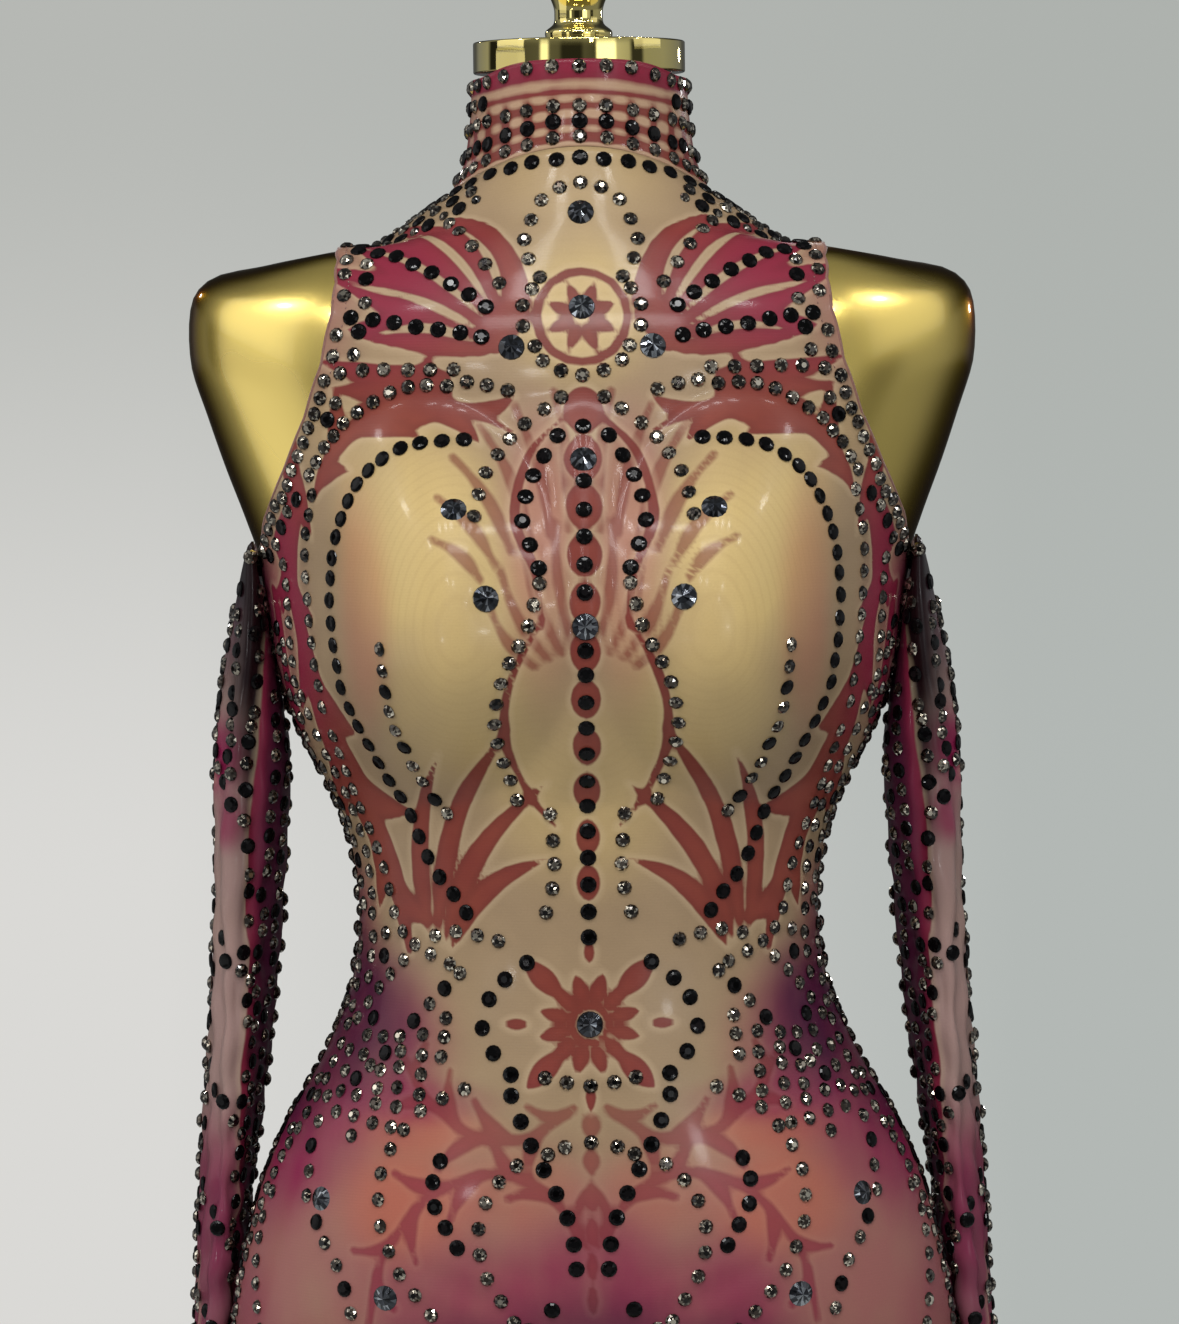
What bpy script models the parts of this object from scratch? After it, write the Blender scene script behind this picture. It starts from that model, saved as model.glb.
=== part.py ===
"""Rhinestone jumpsuit on a limbless dress form.

+Z is up, the front faces -Y, and the origin is on the floor under the middle of the base.
Tables and driving dimensions are in millimetres, and become metres when a mesh is made.
The form and the cloth come from the same sections, so each cloth wall follows the form
at an even distance. Sections are numbered from the neck down.
"""

import math

import bmesh
import bpy
import numpy as np
from mathutils import Matrix, Vector
from mathutils.bvhtree import BVHTree

MM = 0.001

# Cloth
WALL = 1.2  # wall of the stretch mesh
CLEAR = 0.5  # from the form's face to the cloth
SEAM = 0.3  # between two sewn pieces

# Sections of the body: z at the middle of the front, how much lower the ring is at
# the side, half its width, its foremost, rearmost and widest y, and the share of the
# half width that the front and back panels reach before the armhole cuts them.
BODY_COLUMNS = (
    "z", "side_drop", "half_width", "front_y", "back_y", "widest_y", "edge_share",
)
BODY = np.array(
    [
        (1468, 3, 52.0, -46, 58.0, 6, 1.0),
        (1452, 9, 53.5, -47, 60.5, 7, 1.0),
        (1440, 17, 57.0, -49, 63.0, 8, 1.0),
        (1430, 22, 65.0, -51, 66.0, 10, 1.0),  # collar seam
        (1419, 25, 85.0, -55, 71.0, 15, 1.0),
        (1407, 26, 105.0, -60, 77.0, 19, 1.0),
        (1396, 20.5, 117.0, -65, 83.0, 21, 1.0),  # top of the armhole
        (1387, 15, 150.0, -69, 88.0, 20, 0.787),
        (1376, 9, 174.0, -74, 92.0, 18, 0.681),
        (1363, 5, 189.0, -80, 96.0, 16, 0.632),
        (1347, 2, 195.5, -87, 99.0, 13, 0.62),
        (1325, 0, 195.0, -94, 102.0, 11, 0.65),
        (1300, 0, 187.0, -99, 104.0, 9, 0.723),
        (1275, 0, 178.5, -103, 104.0, 8, 0.816),
        (1250, 0, 169.0, -106, 102.0, 6, 0.926),
        (1225, 0, 160.5, -107, 99.0, 5, 1.0),  # bottom of the armhole
        (1200, 0, 156.0, -107, 95.0, 4, 1.0),
        (1175, 0, 151.5, -106, 90.0, 2, 1.0),
        (1150, 0, 143.5, -104, 85.0, 0, 1.0),
        (1125, 0, 131.0, -101, 80.0, -2, 1.0),
        (1100, 0, 119.5, -97, 75.0, -4, 1.0),
        (1070, 0, 113.5, -94, 71.0, -5, 1.0),
        (1040, 0, 113.5, -92, 70.5, -5, 1.0),
        (1010, 0, 119.5, -93, 75.0, -4, 1.0),
        (980, 0, 132.5, -97, 84.0, -2, 1.0),
        (950, 0, 149.5, -100, 96.0, 0, 1.0),
        (920, 0, 162.5, -102, 106.0, 3, 1.0),
        (890, 0, 171.0, -101, 112.0, 5, 1.0),
        (860, 0, 177.0, -97, 114.0, 7, 1.0),
        (832, 0, 179.0, -88, 110.0, 8, 1.0),  # hip seam
    ]
)
COLLAR_SEAM, ARMHOLE_TOP, ARMHOLE_BOTTOM, HIP_SEAM = 3, 6, 15, len(BODY) - 1
QUARTER = 10  # columns from the front or back middle to the side
CAP_COLUMNS = 8  # columns across a shoulder cap, inside the armhole

# The bust and the seat are domes on the sections. Reaches are to where a dome ends.
BUST = dict(x=73, z=1193, rise=50, inward=70, outward=84, upward=118, downward=82)
SEAT = dict(x=76, z=878, rise=13, inward=70, outward=90, upward=80, downward=85)
BRIDGE_RISE, BRIDGE_REACH = 27, 55  # the cloth stretched across between the domes

# Each leg below the hip seam: the form ends in a short root, then the cloth hangs.
CROTCH_DIP = 56  # the lowest point of the crotch seam, below the hip seam
CROTCH_FULLNESS = 0.8  # below 1 the crotch seam is rounder than a sine
LEG_OUTER = 2 * QUARTER  # columns from the front middle round the side to the back
LEG_INNER = 6  # columns along the crotch seam
CREASE, CREASE_COLUMNS = 0.6, 3  # how much the crotch's arch carries on at its ends
LEG_FRONT_ANGLE = -50  # where the front middle lands on the round thigh, in degrees
ROOT_ROWS = 5
LEG_COLUMNS = ("z", "centre_x", "centre_y", "half_x", "half_y", "fold")
LEG = np.array(
    [
        (745, 88, 4, 78, 88, 0.0),  # end of the leg root
        (690, 87, 4, 71, 80, 1.5),
        (610, 84, 4, 58, 66, 3.5),
        (520, 81, 4, 50, 57, 4.5),
        (420, 77, 4, 44, 51, 5.0),
        (300, 74, 4, 41, 47, 5.0),
        (180, 72, 4, 39, 45, 4.5),
        (65, 71, 4, 40, 46, 5.0),  # hem
    ]
)
LEG_FOLDS = 4
LEG_FOLD_TURN = 0.9  # radians that a fold wanders from one section to the next
LEG_FOLD_BUNCH = 0.8  # radians that the folds crowd towards the front and back

# Each sleeve hangs from the bottom of its armhole. Its top edge is tilted: the body side
# is higher by twice the tilt, and its front and back tips are lifted and bowed inwards.
SLEEVE_COLUMNS = (
    "z", "centre_x", "centre_y", "half_x", "half_y", "tilt", "bow", "lift", "fold",
)
SLEEVE = np.array(
    [
        (1220, 168.9, 6, 2.8, 33, 9, 4.5, 18, 0.0),
        (1200, 167.0, 7, 7.7, 36, 5, 2.5, 8, 0.6),
        (1170, 167.2, 9, 12.5, 37, 2, 0.5, 2, 1.2),
        (1130, 167.6, 12, 17.0, 37, 0, 0.0, 0, 1.8),
        (1080, 170.2, 16, 16.0, 37, 0, 0.0, 0, 2.0),
        (1030, 173.8, 20, 15.0, 36, 0, 0.0, 0, 2.0),
        (980, 178.0, 25, 14.0, 35, 0, 0.0, 0, 1.6),
        (930, 182.8, 31, 12.5, 34, 0, 0.0, 0, 1.0),
        (880, 187.2, 37, 11.0, 33, 0, 0.0, 0, 0.6),
        (830, 190.6, 43, 10.5, 32, 0, 0.0, 0, 0.6),
        (775, 191.0, 45, 11.0, 31, 0, 0.0, 0, 1.0),  # cuff
    ]
)
SLEEVE_AROUND = 16
SLEEVE_FOLDS = 3
SLEEVE_FOLD_TURN = 0.7

# Zip at the middle of the back, from the collar's edge down to the small of the back
ZIP_HALF_WIDTH = 3.0
ZIP_END_SECTION = 24
ZIP_END_SHORT = 0.2  # the strip's point ends this share of a section above that one
ZIP_END_HALF_WIDTH = 0.4
SLIDER_SECTION = 0.9
SLIDER = dict(width=9, height=11, thick=2.2)
BRIDGE_BAR = dict(width=3, height=10, gap=2.6, roof=1.0, post=1.8)
PULL = dict(
    bar=1.3, inner=2.3, outer=3.7, shoulder=1.0, bulge=0.8, window=6.3, length=25, thick=1.2
)
PULL_END_STEPS = 8  # straight steps round the pull's end
PULL_LEAN = 4  # degrees that the pull leans off the zip, resting on the cloth
OVERLAP = 1.0  # how far a joined or cut-out box reaches past the face that it meets

# Dress form
BASE = dict(radius=190, thick=10, bevel=3)
SOCKET = dict(radius=20, height=16, bevel=3)
ROD = dict(radius=11, x=80, y=4)
FLANGE = dict(radius=26, thick=6, bevel=2)
NECK_DISC = dict(radius=52.5, thick=15.5, bevel=1.0, y=6)
FINIAL_PROFILE = (  # radius and height above the neck disc, bottom to top
    (16.5, 0.0), (16.5, 5.0), (12.4, 9.0), (12.0, 15.0), (13.2, 20.0), (18.5, 29.0),
    (20.5, 38.0), (18.5, 47.0), (12.0, 54.0), (6.0, 58.0), (5.2, 61.0), (7.5, 65.0),
    (8.2, 69.0), (6.2, 73.0), (2.0, 75.0),
)
LARGE_SIDES, MIDDLE_SIDES, FINIAL_SIDES, ROD_SIDES = 48, 32, 28, 24

# Large set stones: distance from the middle and height of each, on the cloth's front.
# Those with an x of 0 are single, and the others come in mirrored pairs.
STONE = dict(radius=6.5, height=4.2, girdle=0.8, table=0.55, sides=8)
PROBE = 50  # how far above the cloth the search for its face starts
STONE_PLACES = (
    ("throat", 0, 1398),
    ("breastbone", 0, 1352),
    ("collarbone", 34, 1333),
    ("centre_chest", 0, 1279),
    ("upper_bust", 62, 1256),
    ("inner_bust", 47, 1214),
    ("bridge", 0, 1200),
    ("navel", 0, 1006),
    ("hip_side", 132, 918),
    ("hip_front", 101, 872),
)


def columns(table, names, *wanted):
    """The named columns of a table."""
    return [table[:, names.index(name)] for name in wanted]


def between(values, at):
    """A column of a table at any section number, on a smooth curve through its rows."""
    at = np.clip(np.asarray(at, float), 0, len(values) - 1)
    low = np.minimum(at.astype(int), len(values) - 2)
    t = at - low
    before, after = np.maximum(low - 1, 0), np.minimum(low + 2, len(values) - 1)
    a, b, c, d = (values[i] for i in (before, low, low + 1, after))
    return 0.5 * (
        2 * b + (c - a) * t
        + (2 * a - 5 * b + 4 * c - d) * t**2
        + (3 * b - 3 * c + d - a) * t**3
    )


def smooth(t):
    return t * t * (3 - 2 * t)


def dome(x, z, d):
    """A rounded hill on either side of the middle, 0 outside its reach."""
    across = np.abs(x) - d["x"]
    up = z - d["z"]
    a = across / np.where(across < 0, d["inward"], d["outward"])
    u = up / np.where(up < 0, d["downward"], d["upward"])
    return d["rise"] * np.clip(1 - a * a - u * u, 0, 1) ** 1.5


def bridge(x, z):
    """Fills the valley between the two sides of the bust, as stretched cloth does."""
    up = z - BUST["z"]
    u = up / np.where(up < 0, BUST["downward"], BUST["upward"])
    across = np.clip(1 - (x / BRIDGE_REACH) ** 2, 0, 1) ** 3
    return BRIDGE_RISE * across * np.clip(1 - u * u, 0, 1) ** 1.5


def body_surface(section, angle):
    """The cloth's inner face on the body. The angle is 0 at the front, 90 at the side."""
    z, drop, width, front, back, widest = (
        between(c, section)
        for c in columns(BODY, BODY_COLUMNS, *BODY_COLUMNS[:6])
    )
    a = np.radians(angle)
    x = width * np.sin(a)
    level = z - drop * np.sin(a) ** 2
    forward = np.cos(a)
    depth = np.where(forward > 0, widest - front, back - widest)
    y = widest - depth * forward
    y = y - (dome(x, level, BUST) + bridge(x, level)) * np.clip(forward, 0, 1) ** 0.5
    y = y + dome(x, level, SEAT) * np.clip(-forward, 0, 1) ** 0.5
    return np.stack([x, y, level], -1)


def leg_ring(at, around):
    """A leg's ring at a section of the LEG table. around runs from -50 to 310 degrees."""
    z, cx, cy, half_x, half_y, fold = (
        between(c, at) for c in columns(LEG, LEG_COLUMNS, *LEG_COLUMNS)
    )
    a = np.radians(around)
    turn = LEG_FOLD_TURN * at + LEG_FOLD_BUNCH * np.sin(a)
    wave = fold * np.cos(LEG_FOLDS * a + turn)
    x = cx + (half_x + wave) * np.sin(a)
    y = cy - (half_y + wave) * np.cos(a)
    return np.stack([x, y, z + 0 * a], -1)


def leg_surface(row, column):
    """The left leg's inner face. Rows 0 to 1 are the root, and 1 upwards is the LEG table.
    Columns run from the front middle round the side to the back, then along the crotch."""
    row, column = np.broadcast_arrays(
        np.asarray(row, float), np.asarray(column, float)
    )
    t = np.clip(row, 0, 1)
    outer_arc = column <= LEG_OUTER
    share = np.clip(column / LEG_OUTER, 0, 1)
    inner = np.clip((column - LEG_OUTER) / LEG_INNER, 0, 1)
    sweep = 180 - 2 * LEG_FRONT_ANGLE
    around = LEG_FRONT_ANGLE + np.where(
        outer_arc, sweep * share, sweep + (360 - sweep) * inner
    )
    low = leg_ring(np.maximum(row - 1, 0), around)
    hip = body_surface(np.full(share.shape, float(HIP_SEAM)), 180 * share)
    back_y, front_y = BODY[HIP_SEAM, 4], BODY[HIP_SEAM, 3]
    dip = CROTCH_DIP * np.sin(math.pi * inner) ** CROTCH_FULLNESS
    crotch = np.stack(
        [0 * inner, back_y + (front_y - back_y) * inner, BODY[HIP_SEAM, 0] - dip], -1
    )
    top = np.where(outer_arc[..., None], hip, crotch)
    straight = top + (low - top) * smooth(t)[..., None]
    straight[..., 2] = top[..., 2] + (low[..., 2] - top[..., 2]) * t
    arch = straight.copy()
    arch[..., 0] = top[..., 0] + (low[..., 0] - top[..., 0]) * np.sin(t * math.pi / 2)
    arch[..., 2] = top[..., 2] + (low[..., 2] - top[..., 2]) * (
        1 - np.cos(t * math.pi / 2)
    )
    from_middle = np.minimum(column, LEG_OUTER - column)
    fading = np.clip(1 - from_middle / CREASE_COLUMNS, 0, 1) ** 2
    along_crotch = 1 + (1 / CREASE - 1) * np.sin(math.pi * inner) ** 0.5
    arched = CREASE * np.where(outer_arc, fading, along_crotch)[..., None]
    root = straight + (arch - straight) * arched
    return np.where((row > 1)[..., None], low, root)


def sleeve_surface(row, around):
    """The left sleeve's inner face. The angle is 0 on the side away from the body."""
    z, cx, cy, half_x, half_y, tilt, bow, lift, fold = (
        between(c, row) for c in columns(SLEEVE, SLEEVE_COLUMNS, *SLEEVE_COLUMNS)
    )
    a = np.radians(around)
    wave = fold * np.cos(SLEEVE_FOLDS * a + SLEEVE_FOLD_TURN * row)
    x = cx + (half_x + wave) * np.cos(a) - bow * np.sin(a) ** 2
    y = cy + (half_y + wave) * np.sin(a)
    z = z - tilt * np.cos(a) + lift * np.sin(a) ** 2
    return np.stack([x, y, z], -1)


def outward(surface, rows, cols, step=0.02):
    """Unit normals of a surface on a grid, from its slopes. Rows run down, and columns
    run from the front round the side, so the cross product points out."""
    down = surface(rows + step, cols) - surface(rows - step, cols)
    along = surface(rows, cols + step) - surface(rows, cols - step)
    n = np.cross(down, along)
    return n / np.linalg.norm(n, axis=-1, keepdims=True)


def faces(surface, rows, cols, mirror_middle=False):
    """The points on a grid of rows and columns, at the cloth's inner and outer faces and
    at the form's face under it."""
    rows, cols = np.broadcast_arrays(rows, cols)
    points = surface(rows, cols)
    n = outward(surface, rows, cols)
    if mirror_middle:
        n = np.where((np.abs(points[..., :1]) < 1e-6) * [True, False, False], 0, n)
        n = n / np.linalg.norm(n, axis=-1, keepdims=True)
    return points, points + WALL * n, points - CLEAR * n


def pull_in(grids, axis, end, distance):
    """Moves one edge of each grid towards its neighbour, which opens a seam there."""
    pulled = []
    for grid in grids:
        grid = np.moveaxis(grid.copy(), axis, 0)
        edge, inside = (0, 1) if end == "first" else (-1, -2)
        way = grid[inside] - grid[edge]
        grid[edge] += way / np.linalg.norm(way, axis=-1, keepdims=True) * distance
        pulled.append(np.moveaxis(grid, 0, axis))
    return pulled


def mirrored(grid):
    """The same grid on the other side of the middle."""
    return grid * [-1, 1, 1]


def add_object(name, bm, material, rounded=True):
    """Makes the object of a finished bmesh, in metres."""
    bmesh.ops.recalc_face_normals(bm, faces=bm.faces)
    if bm.calc_volume(signed=True) < 0:
        bmesh.ops.reverse_faces(bm, faces=bm.faces)
    bmesh.ops.scale(bm, vec=(MM, MM, MM), verts=bm.verts)
    mesh = bpy.data.meshes.new(name)
    bm.to_mesh(mesh)
    bm.free()
    obj = bpy.data.objects.new(name, mesh)
    obj.data.materials.append(material)
    bpy.context.scene.collection.objects.link(obj)
    if rounded:
        mesh.shade_smooth()
        mesh.set_sharp_from_angle(angle=math.radians(40))
    return obj


def lattice(bm, grid, loop=False, middle=0):
    """Adds a grid of triangles and returns its vertices. A loop joins its last column to
    the first. Columns before the middle are split along the mirrored diagonal, so the
    cloth and the form under it bend along the same lines on both sides."""
    verts = [[bm.verts.new(p) for p in row] for row in grid]
    count = len(verts[0])
    for upper, lower in zip(verts, verts[1:]):
        for j in range(count if loop else count - 1):
            k = (j + 1) % count
            if j < middle:
                bm.faces.new((upper[j], upper[k], lower[j]))
                bm.faces.new((upper[k], lower[k], lower[j]))
            else:
                bm.faces.new((upper[j], upper[k], lower[k]))
                bm.faces.new((upper[j], lower[k], lower[j]))
    return verts


def strip(bm, first, second, loop=False):
    """Adds faces between two lines of vertices of the same length."""
    count = len(first)
    for j in range(count if loop else count - 1):
        k = (j + 1) % count
        bm.faces.new((first[j], first[k], second[k], second[j]))


def wall(name, inner, outer, material, loop=False, middle=0):
    """A cloth wall between two grids of the same shape."""
    bm = bmesh.new()
    near = lattice(bm, inner, loop, middle)
    far = lattice(bm, outer, loop, middle)
    strip(bm, near[0], far[0], loop)
    strip(bm, near[-1], far[-1], loop)
    if not loop:
        strip(bm, [row[0] for row in near], [row[0] for row in far])
        strip(bm, [row[-1] for row in near], [row[-1] for row in far])
    return add_object(name, bm, material)


def make_material(name, colour, roughness, metallic=0.0):
    material = bpy.data.materials.new(name)
    material.use_nodes = True
    shader = material.node_tree.nodes["Principled BSDF"]
    shader.inputs["Base Color"].default_value = (*colour, 1)
    shader.inputs["Roughness"].default_value = roughness
    shader.inputs["Metallic"].default_value = metallic
    return material


def panel_angles(sections, quarter_columns, back=False):
    """The angle of each column of a front or back panel at each section, up to the
    armhole's edge or the side."""
    (share,) = columns(BODY, BODY_COLUMNS, "edge_share")
    edge = np.degrees(np.arcsin(np.clip(between(share, sections), 0, 1)))
    angles = edge[:, None] * np.linspace(0, 1, quarter_columns + 1)[None, :]
    return 180 - angles[:, ::-1] if back else angles


def quarter(first, last, back=False):
    """The grids of one quarter of the body between two sections, on the left."""
    sections = np.arange(first, last + 1, dtype=float)
    angles = panel_angles(sections, QUARTER, back)
    return faces(body_surface, sections[:, None], angles, mirror_middle=True)


def across_middle(grid):
    """A quarter and its mirror image, as one grid from right to left."""
    return np.concatenate([mirrored(grid)[:, :0:-1], grid], axis=1)


def make_front(material):
    """Front panel, from the collar seam to the hip seam."""
    grids = [across_middle(g) for g in quarter(COLLAR_SEAM, HIP_SEAM)[:2]]
    for axis in (0, 1):
        for end in ("first", "last"):
            grids = pull_in(grids, axis, end, SEAM / 2)
    wall("front", *grids, material, middle=QUARTER)


def zip_inset(first, last):
    """How far the back's middle edge stays from the middle, at each section."""
    sections = np.arange(first, last + 1)
    return np.where(sections < ZIP_END_SECTION, ZIP_HALF_WIDTH + SEAM, SEAM / 2)


def open_middle(grid, inset):
    """Moves a back quarter's middle edge off the middle, and its neighbour in step."""
    grid = grid.copy()
    step = grid[:, -2, 0] - grid[:, -1, 0]
    share = (inset / step)[:, None]
    grid[:, -1] += (grid[:, -2] - grid[:, -1]) * share
    return grid


def make_backs(material):
    """Left and right back panels, with the zip between them."""
    inset = zip_inset(COLLAR_SEAM, HIP_SEAM)
    grids = [open_middle(g, inset) for g in quarter(COLLAR_SEAM, HIP_SEAM, True)[:2]]
    for end in ("first", "last"):
        grids = pull_in(grids, 0, end, SEAM / 2)
    grids = pull_in(grids, 1, "first", SEAM / 2)
    wall("back_left", *grids, material)
    wall("back_right", *[mirrored(g) for g in grids], material)


def make_collar(material):
    """Stand-up collar, open at the middle of the back for the zip."""
    inset = zip_inset(0, COLLAR_SEAM)
    grids = []
    for front, back in zip(
        quarter(0, COLLAR_SEAM)[:2], quarter(0, COLLAR_SEAM, True)[:2]
    ):
        half = np.concatenate([front[:, :-1], open_middle(back, inset)], axis=1)
        grids.append(across_middle(half))
    grids = pull_in(grids, 0, "last", SEAM / 2)
    wall("collar", *grids, material, middle=2 * QUARTER)


def make_zip(material):
    """Zip tape and teeth as one strip, which tapers to its lower end."""
    sections = np.arange(0, ZIP_END_SECTION + 1, dtype=float)
    sections[-1] -= ZIP_END_SHORT
    middle, outer, _ = faces(body_surface, sections[:, None], 180.0, True)
    half = np.full(len(sections), ZIP_HALF_WIDTH)
    half[-1] = ZIP_END_HALF_WIDTH
    side = np.stack([half, 0 * half, 0 * half], -1)[:, None, :]
    grids = [np.concatenate([g - side, g + side], axis=1) for g in (middle, outer)]
    wall("zip_strip", *grids, material)


def leg_rows():
    """Row numbers of a leg, closer together in the root."""
    return np.concatenate(
        [np.linspace(0, 1, ROOT_ROWS + 1), np.arange(2, len(LEG) + 1)]
    )


def leg_faces():
    """Grids of the whole left leg. Its last column is the front middle again."""
    rows = leg_rows()[:, None]
    cols = np.arange(LEG_OUTER + LEG_INNER + 1, dtype=float)[None, :]
    rows, cols = np.broadcast_arrays(rows, cols)
    step = 0.02
    down = leg_surface(rows + step, cols) - leg_surface(np.maximum(rows - step, 0), cols)
    last = LEG_OUTER + LEG_INNER
    ahead = leg_surface(rows, (cols + step) % last)
    behind = leg_surface(rows, (cols - step) % last)
    n = np.cross(down, ahead - behind)
    n /= np.linalg.norm(n, axis=-1, keepdims=True)
    points = leg_surface(rows, cols)
    # Where it meets the body, the leg takes the body's own normals. Along the crotch
    # they lie in the middle plane, square to the seam.
    hip_angles = np.arange(LEG_OUTER + 1) * 180 / LEG_OUTER
    hip = outward(body_surface, np.full(LEG_OUTER + 1, float(HIP_SEAM)), hip_angles)
    n[0, : LEG_OUTER + 1] = hip
    n[0, -1] = hip[0]
    crotch = slice(LEG_OUTER + 1, last)
    along = points[0, LEG_OUTER + 2 : last + 1] - points[0, LEG_OUTER : last - 1]
    n[0, crotch] = np.stack([0 * along[:, 0], -along[:, 2], along[:, 1]], -1)
    n[0, [0, LEG_OUTER, last], 0] = 0
    n[0] /= np.linalg.norm(n[0], axis=-1, keepdims=True)
    return points, points + WALL * n, points - CLEAR * n


def make_legs(material):
    """Front and back of each leg, joined at the outer and inner leg seams."""
    grids = [g.copy() for g in leg_faces()[:2]]
    for g in grids:
        g[..., 0] = np.maximum(g[..., 0], SEAM / 2)
    grids = pull_in(grids, 0, "first", SEAM / 2)
    for g in grids:
        g[..., 0] = np.maximum(g[..., 0], SEAM / 2)
    seam_out, seam_in = LEG_OUTER // 2, LEG_OUTER + LEG_INNER // 2
    halves = {
        "front": [np.concatenate([g[:, seam_in:-1], g[:, : seam_out + 1]], 1) for g in grids],
        "back": [g[:, seam_out : seam_in + 1] for g in grids],
    }
    for name, half in halves.items():
        for end in ("first", "last"):
            half = pull_in(half, 1, end, SEAM / 2)
        wall(f"leg_left_{name}", *half, material)
        wall(f"leg_right_{name}", *[mirrored(g) for g in half], material)


def make_sleeves(material):
    """Sleeves, as tubes flattened against the hips."""
    rows = np.arange(len(SLEEVE), dtype=float)[:, None]
    around = np.arange(SLEEVE_AROUND)[None, :] * 360 / SLEEVE_AROUND
    rows, around = np.broadcast_arrays(rows, around)
    points = sleeve_surface(rows, around)
    n = -outward(sleeve_surface, rows, around, 0.05)
    facing = np.stack([np.cos(np.radians(around)), np.sin(np.radians(around))], -1)
    n *= np.sign((n[..., :2] * facing).sum(-1, keepdims=True))
    outer = points + WALL * n
    wall("sleeve_left", points, outer, material, loop=True)
    wall("sleeve_right", mirrored(points), mirrored(outer), material, loop=True)


def make_form(material):
    """The form's torso, shoulder caps and leg roots, as one smooth closed solid."""
    bm = bmesh.new()
    patches = [quarter(0, HIP_SEAM)[2], quarter(0, HIP_SEAM, True)[2]]
    sections = np.arange(ARMHOLE_TOP, ARMHOLE_BOTTOM + 1, dtype=float)
    edge = panel_angles(sections, 1)[:, -1]
    across = np.linspace(0, 1, CAP_COLUMNS + 1)[None, :]
    cap_angles = edge[:, None] + (180 - 2 * edge)[:, None] * across
    patches.append(faces(body_surface, sections[:, None], cap_angles, True)[2])
    patches.append(leg_faces()[2][: ROOT_ROWS + 1])
    for grid in patches:
        lattice(bm, grid)
        lattice(bm, mirrored(grid))
    root_end = patches[-1][-1, :-1]
    for ring in (root_end, mirrored(root_end)):
        bm.faces.new([bm.verts.new(p) for p in ring])
    neck = np.concatenate([patches[0][0, :-1], patches[1][0]])
    ring = np.concatenate([neck, mirrored(neck)[-2:0:-1]])
    bm.faces.new([bm.verts.new(p) for p in ring])
    bmesh.ops.remove_doubles(bm, verts=bm.verts, dist=0.02)
    bmesh.ops.dissolve_degenerate(bm, edges=bm.edges, dist=0.001)
    return add_object("dress_form", bm, material)


def turned(name, profile, centre, material, sides):
    """A solid turned about a vertical axis, from radius and height pairs, bottom to top.
    Both ends are closed flat."""
    bm = bmesh.new()
    rings = []
    for radius, height in profile:
        rings.append(
            [
                (
                    centre[0] + radius * math.cos(2 * math.pi * k / sides),
                    centre[1] + radius * math.sin(2 * math.pi * k / sides),
                    centre[2] + height,
                )
                for k in range(sides)
            ]
        )
    verts = lattice(bm, rings, loop=True)
    bm.faces.new(verts[0])
    bm.faces.new(verts[-1])
    return add_object(name, bm, material)


def make_stand(gold):
    """Base plate, rod inside the left leg, and the neck disc with its finial."""
    r, t, b = BASE["radius"], BASE["thick"], BASE["bevel"]
    turned("base_plate", ((r, 0), (r, t - b), (r - b, t)), (0, 0, 0), gold, LARGE_SIDES)
    place = (ROD["x"], ROD["y"])
    r, h, b = SOCKET["radius"], SOCKET["height"], SOCKET["bevel"]
    socket_z = t + SEAM
    turned("rod_socket", ((r, 0), (r, h - b), (r - b, h)), (*place, socket_z), gold,
           MIDDLE_SIDES)
    rod_z = socket_z + h + SEAM
    r, t, b = FLANGE["radius"], FLANGE["thick"], FLANGE["bevel"]
    flange_z = LEG[0, 0] - SEAM - t
    turned("rod_flange", ((r - b, 0), (r, b), (r, t)), (*place, flange_z), gold,
           MIDDLE_SIDES)
    length = flange_z - SEAM - rod_z
    turned("rod", ((ROD["radius"], 0), (ROD["radius"], length)), (*place, rod_z), gold,
           ROD_SIDES)
    r, t, b, y = (NECK_DISC[key] for key in ("radius", "thick", "bevel", "y"))
    disc_z = BODY[0, 0] + SEAM
    turned("neck_disc", ((r - b, 0), (r, b), (r, t - b), (r - b, t)), (0, y, disc_z), gold,
           LARGE_SIDES)
    turned("finial", FINIAL_PROFILE, (0, y, disc_z + t + SEAM), gold, FINIAL_SIDES)


def box(bm, low, high):
    """Adds a closed box between two corners."""
    size = [h - l for l, h in zip(low, high)]
    centre = [(l + h) / 2 for l, h in zip(low, high)]
    matrix = Matrix.Translation(centre) @ Matrix.Diagonal((*size, 1))
    bmesh.ops.create_cube(bm, size=1, matrix=matrix)


def box_object(name, low, high, material):
    bm = bmesh.new()
    box(bm, low, high)
    return add_object(name, bm, material, rounded=False)


def helper(obj):
    """Marks an object as a tool for a Boolean, left out of the part."""
    obj.hide_render = True
    obj.display_type = "WIRE"
    return obj


def boolean(obj, other, operation):
    modifier = obj.modifiers.new(operation.lower(), "BOOLEAN")
    modifier.operation = operation
    modifier.object = helper(other)


def zip_frame():
    """Where the slider sits: x to the left, y out of the back and z up along the zip."""
    section = np.array([[SLIDER_SECTION]])
    _, outer, _ = faces(body_surface, section, np.array([[180.0]]), True)
    n = outer[0, 0] - body_surface(section, np.array([[180.0]]))[0, 0]
    n = Vector(n / np.linalg.norm(n))
    side = Vector((1, 0, 0))
    up = side.cross(n)
    if up.z < 0:
        side, up = -side, -up
    frame = Matrix((side, n, up)).transposed().to_4x4()
    frame.translation = Vector(outer[0, 0]) * MM
    return frame


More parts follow.
